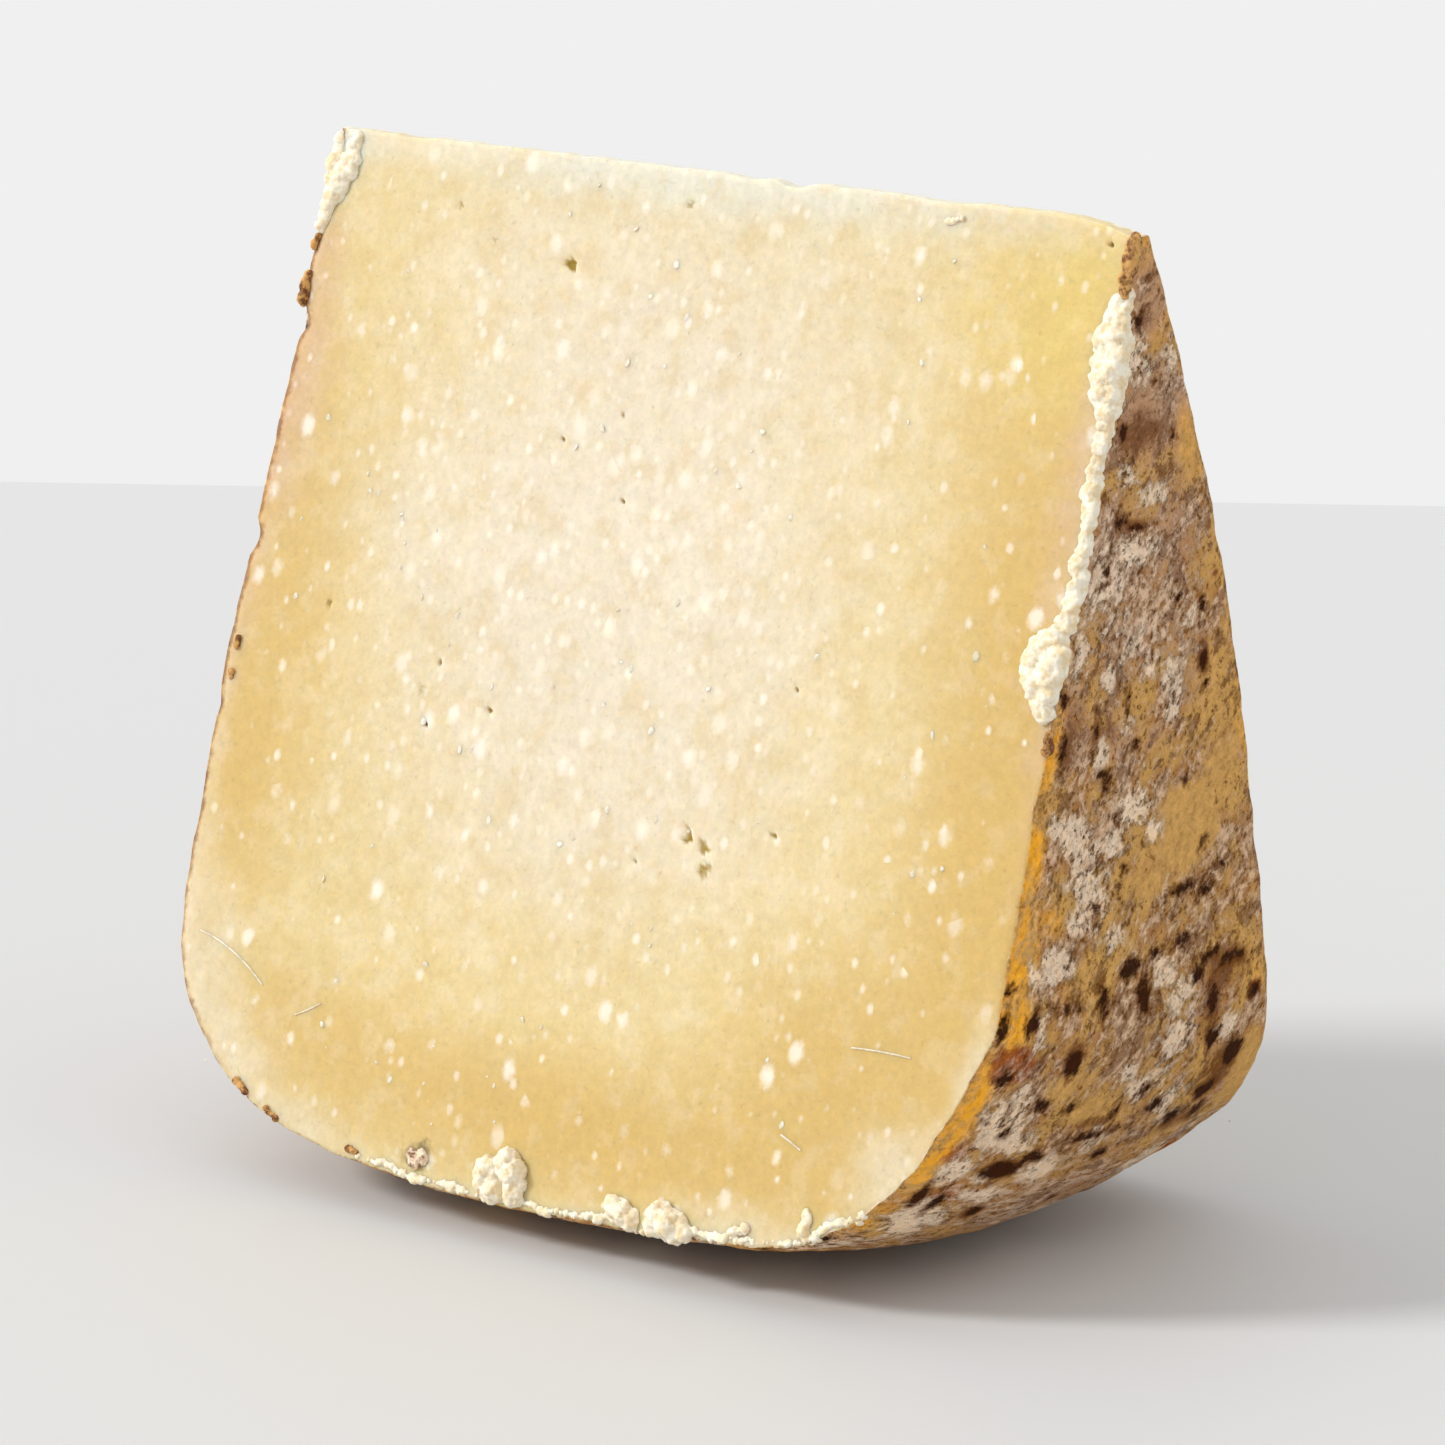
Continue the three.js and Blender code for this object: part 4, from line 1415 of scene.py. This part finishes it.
def crystal_places(sizes, side, look):
    """Seeded places of crystals on one cut, with radii in metres and the way they face"""
    rng = random.Random(SEEDS["crystals"] + side)
    places, radii, facings = [], [], []
    normal = cut_normal(sizes, side)
    while len(places) < look.crystal_count:
        draw = rng.random()
        x, depth = rng.uniform(-CRYSTAL_SPREAD, CRYSTAL_SPREAD), rng.uniform(*CRYSTAL_DEPTHS)
        for cx, cy, half_width, half_height, share in CRYSTAL_CLUSTERS:
            if draw < share:
                x, depth = rng.gauss(cx, half_width), rng.gauss(cy, half_height)
                break
            draw -= share
        if abs(x) > CRYSTAL_SPREAD + 1 or not CRYSTAL_DEPTHS[0] - 1 < depth < CRYSTAL_DEPTHS[1] + 1:
            continue
        radius = look.crystal_size / 2 * (SMALLEST_CRYSTAL + (1 - SMALLEST_CRYSTAL) * rng.random() ** 3)
        places.append(on_cut(sizes, side, x, depth, -CRYSTAL_SUNK))
        radii.append(radius)
        tilt = Vector([rng.gauss(0, CRYSTAL_TILT) for _ in range(3)])
        facings.append(normal + tilt)
    return places, radii, facings


# ---------------------------------------------------------------------------------------------------
# Building the pieces
# ---------------------------------------------------------------------------------------------------

def slice_mesh(sizes):
    """The slice's closed skin with the numbers that its material reads"""
    lattice = Lattice(sizes)
    quads = np.concatenate(skin_faces())
    used, corners = np.unique(quads, return_inverse=True)
    corners = corners.reshape(quads.shape)
    mesh = bpy.data.meshes.new("Cheese_slice")
    mesh.from_pydata(lattice.points.reshape(-1, 3)[used].tolist(), [], corners.tolist())
    mesh.polygons.foreach_set("use_smooth", np.ones(len(corners), bool))
    for name, values in skin_marks(sizes, lattice).items():
        made = mesh.attributes.new(name, "FLOAT", "POINT")
        made.data.foreach_set("value", values[used].astype(np.float32))
    mesh.update()
    return mesh


AIM_HEIGHT = 0.464  # what the camera looks at, as a share of the wedge's height
SENSOR_WIDTH = 36  # millimetres
TABLE_NEAR = 2.0  # metres from the wedge to the table's near edge
TABLE_SIDE = 3.0  # metres from the wedge to its sides


class CHEESE_OT_stage(bpy.types.Operator):
    """Places the camera, the table top, the pale surroundings and the light"""

    bl_idname = "cheese.stage"
    bl_label = "Stage"

    def execute(self, context):
        look = context.scene.cheese_stage
        low, high = Vector(CAD_BOX[0]), Vector(CAD_BOX[1])
        middle = (low.x + high.x) / 2
        aim = Vector((middle, centre_shift(context.scene.cheese_sizes), high.z * AIM_HEIGHT))
        self.add_camera(context, look, aim)
        self.add_table(look, aim)
        self.add_lights(context, look)
        return {"FINISHED"}

    def add_camera(self, context, look, aim):
        away = Vector((
            math.sin(look.view_azimuth) * math.cos(look.view_elevation),
            -math.cos(look.view_azimuth) * math.cos(look.view_elevation),
            math.sin(look.view_elevation)))
        lens = bpy.data.cameras.new("Camera")
        lens.lens = look.lens
        lens.sensor_width = SENSOR_WIDTH
        camera = bpy.data.objects.new("Camera", lens)
        camera.location = aim + away * look.view_distance
        camera.rotation_euler = away.to_track_quat("Z", "Y").to_euler()
        context.scene.collection.objects.link(camera)
        context.scene.camera = camera
        context.scene.view_settings.view_transform = "Standard"

    def add_table(self, look, aim):
        away = look.view_azimuth + look.horizon_turn
        back = Vector((-math.sin(away), math.cos(away), 0.0))
        side = Vector((back.y, -back.x, 0.0))
        middle = Vector((aim.x, aim.y, 0.0))
        far = middle + back * look.table_reach
        near = middle - back * TABLE_NEAR
        side = side * TABLE_SIDE
        corners = [near - side, near + side, far + side, far - side]
        mesh = bpy.data.meshes.new("Table_top")
        mesh.from_pydata([tuple(corner) for corner in corners], [], [(0, 1, 2, 3)])
        mesh.materials.append(self.plain("Table", look.floor))
        add_object("Table_top", mesh)

    def plain(self, name, shown):
        """A quiet matt surface with a faint cloudiness"""
        recipe = Recipe(name)
        cloudy = recipe.calc("MULTIPLY_ADD", recipe.cloud(0.4), 0.03, 0.985)
        return recipe.finish(Base_Color=recipe.tinted(linear(shown)[:3], cloudy), Roughness=0.6)

    def add_lights(self, context, look):
        world = bpy.data.worlds.new("Studio")
        world.use_nodes = True
        sky = world.node_tree.nodes["Background"]
        sky.inputs["Color"].default_value = linear(look.sky)
        sky.inputs["Strength"].default_value = look.sky_strength
        context.scene.world = world
        sun = bpy.data.lights.new("Key", "SUN")
        sun.energy = look.key_power
        sun.angle = look.key_softness
        sun.color = linear(look.key)[:3]
        key = bpy.data.objects.new("Key", sun)
        level = math.cos(look.key_height)
        towards = Vector((
            math.cos(look.key_bearing) * level,
            math.sin(look.key_bearing) * level,
            math.sin(look.key_height)))
        key.rotation_euler = towards.to_track_quat("Z", "Y").to_euler()
        context.scene.collection.objects.link(key)


class CHEESE_OT_slice(bpy.types.Operator):
    """Builds the wedge itself, paste and rind in one closed skin"""

    bl_idname = "cheese.slice"
    bl_label = "Slice"

    def execute(self, context):
        scene = context.scene
        mesh = slice_mesh(scene.cheese_sizes)
        mesh.materials.append(cheese_material(scene.cheese_paste, scene.cheese_rind))
        keep(add_object("Cheese_slice", mesh))
        return {"FINISHED"}


class CHEESE_OT_crystals(bpy.types.Operator):
    """Sets the ripening crystals into both cuts"""

    bl_idname = "cheese.crystals"
    bl_label = "Crystals"

    def execute(self, context):
        scene = context.scene
        look = scene.cheese_paste
        places, radii, facings = [], [], []
        for side in (FRONT, BACK):
            found = crystal_places(scene.cheese_sizes, side, look)
            places += found[0]
            radii += found[1]
            facings += found[2]
        mesh = point_mesh("Crystal_points", places, {"size": radii}, {"facing": facings})
        material = crumb_material("Crystal", look.crystal, look.pale)
        keep(grown("Crystals", mesh, crystal_tree(), {"Material": material}))
        return {"FINISHED"}


class CHEESE_OT_crumbs(bpy.types.Operator):
    """Adds the cream ribbons, lumps and lip that the knife left along the front cut"""

    bl_idname = "cheese.crumbs"
    bl_label = "Cream crumbs"

    def execute(self, context):
        look = context.scene.cheese_rind
        outline = Outline(context.scene.cheese_sizes)
        smeared = RIBBON_STRANDS + (lip_strand(outline),)
        # The cream crumbs' darker colour is painted shade
        material = crumb_material("Cream_crumb", look.crumb, look.crumb_painted_shade)
        groups = ((smeared, SMEARED), (LUMP_STRANDS, LOOSE))
        crumb_piece(context, "Cream_crumbs", outline, groups, SEEDS["crumbs"], CREAM_TEXTURE, material)
        return {"FINISHED"}


class CHEESE_OT_nubs(bpy.types.Operator):
    """Adds the golden bits of rind at the corners"""

    bl_idname = "cheese.nubs"
    bl_label = "Rind nubs"

    def execute(self, context):
        look = context.scene.cheese_rind
        outline = Outline(context.scene.cheese_sizes)
        material = crumb_material("Golden_rind", look.ochre, look.umber)
        groups = ((NUB_STRANDS, LOOSE),)
        crumb_piece(context, "Rind_nubs", outline, groups, SEEDS["nubs"], NUB_TEXTURE, material)
        return {"FINISHED"}


class CHEESE_OT_mould(bpy.types.Operator):
    """Adds the little tuft of mould by the lower edge"""

    bl_idname = "cheese.mould"
    bl_label = "Mould tuft"

    def execute(self, context):
        look = context.scene.cheese_rind
        outline = Outline(context.scene.cheese_sizes)
        material = crumb_material("Mould_tuft", look.mould, look.umber)
        groups = ((MOULD_STRANDS, GROWN),)
        crumb_piece(context, "Mould_tuft", outline, groups, SEEDS["mould"], MOULD_TEXTURE, material)
        return {"FINISHED"}


class CHEESE_OT_knife_marks(bpy.types.Operator):
    """Adds the fine ridges that the knife dragged up"""

    bl_idname = "cheese.knife_marks"
    bl_label = "Knife marks"

    def execute(self, context):
        scene = context.scene
        sizes = scene.cheese_sizes
        points, edges = [], []
        for line in KNIFE_LINES:
            for number, (x, depth) in enumerate(bezier(*line, steps=20)):
                if number:
                    edges.append((len(points) - 1, len(points)))
                points.append(tuple(on_cut(sizes, FRONT, x, depth, RIDGE_PROUD)))
        mesh = bpy.data.meshes.new("Knife_lines")
        mesh.from_pydata(points, edges, [])
        material = crumb_material("Knife_ridge", scene.cheese_rind.crumb, scene.cheese_paste.pale)
        keep(grown("Knife_marks", mesh, knife_tree(), {"Material": material}))
        return {"FINISHED"}


PIECE_OPERATORS = (
    CHEESE_OT_stage, CHEESE_OT_slice, CHEESE_OT_crystals, CHEESE_OT_crumbs, CHEESE_OT_nubs,
    CHEESE_OT_mould, CHEESE_OT_knife_marks)


class CHEESE_PT_sidebar(bpy.types.Panel):
    """Lists the pieces and their settings"""

    bl_idname = "CHEESE_PT_sidebar"
    bl_label = "Cheese Wedge"
    bl_space_type = "VIEW_3D"
    bl_region_type = "UI"
    bl_category = "Cheese"

    def draw(self, context):
        layout = self.layout
        for operator in PIECE_OPERATORS:
            layout.operator(operator.bl_idname)
        for name in SETTINGS:
            settings = getattr(context.scene, name)
            box = layout.box()
            for key in settings.bl_rna.properties.keys():
                if key not in ("name", "rna_type"):
                    box.prop(settings, key)


SETTINGS = {
    "cheese_sizes": SliceSizes, "cheese_paste": PasteLook, "cheese_rind": RindLook,
    "cheese_stage": StageLook}
CLASSES = tuple(SETTINGS.values()) + PIECE_OPERATORS + (CHEESE_PT_sidebar,)


def register():
    for made in CLASSES:
        bpy.utils.register_class(made)
    for name, group in SETTINGS.items():
        setattr(bpy.types.Scene, name, PointerProperty(type=group))


def unregister():
    for name in SETTINGS:
        delattr(bpy.types.Scene, name)
    for made in reversed(CLASSES):
        bpy.utils.unregister_class(made)


def main():
    register()
    bpy.ops.cheese.stage()
    bpy.ops.cheese.slice()
    bpy.ops.cheese.crystals()
    bpy.ops.cheese.crumbs()
    bpy.ops.cheese.nubs()
    bpy.ops.cheese.mould()
    bpy.ops.cheese.knife_marks()


if __name__ == "__main__":
    main()
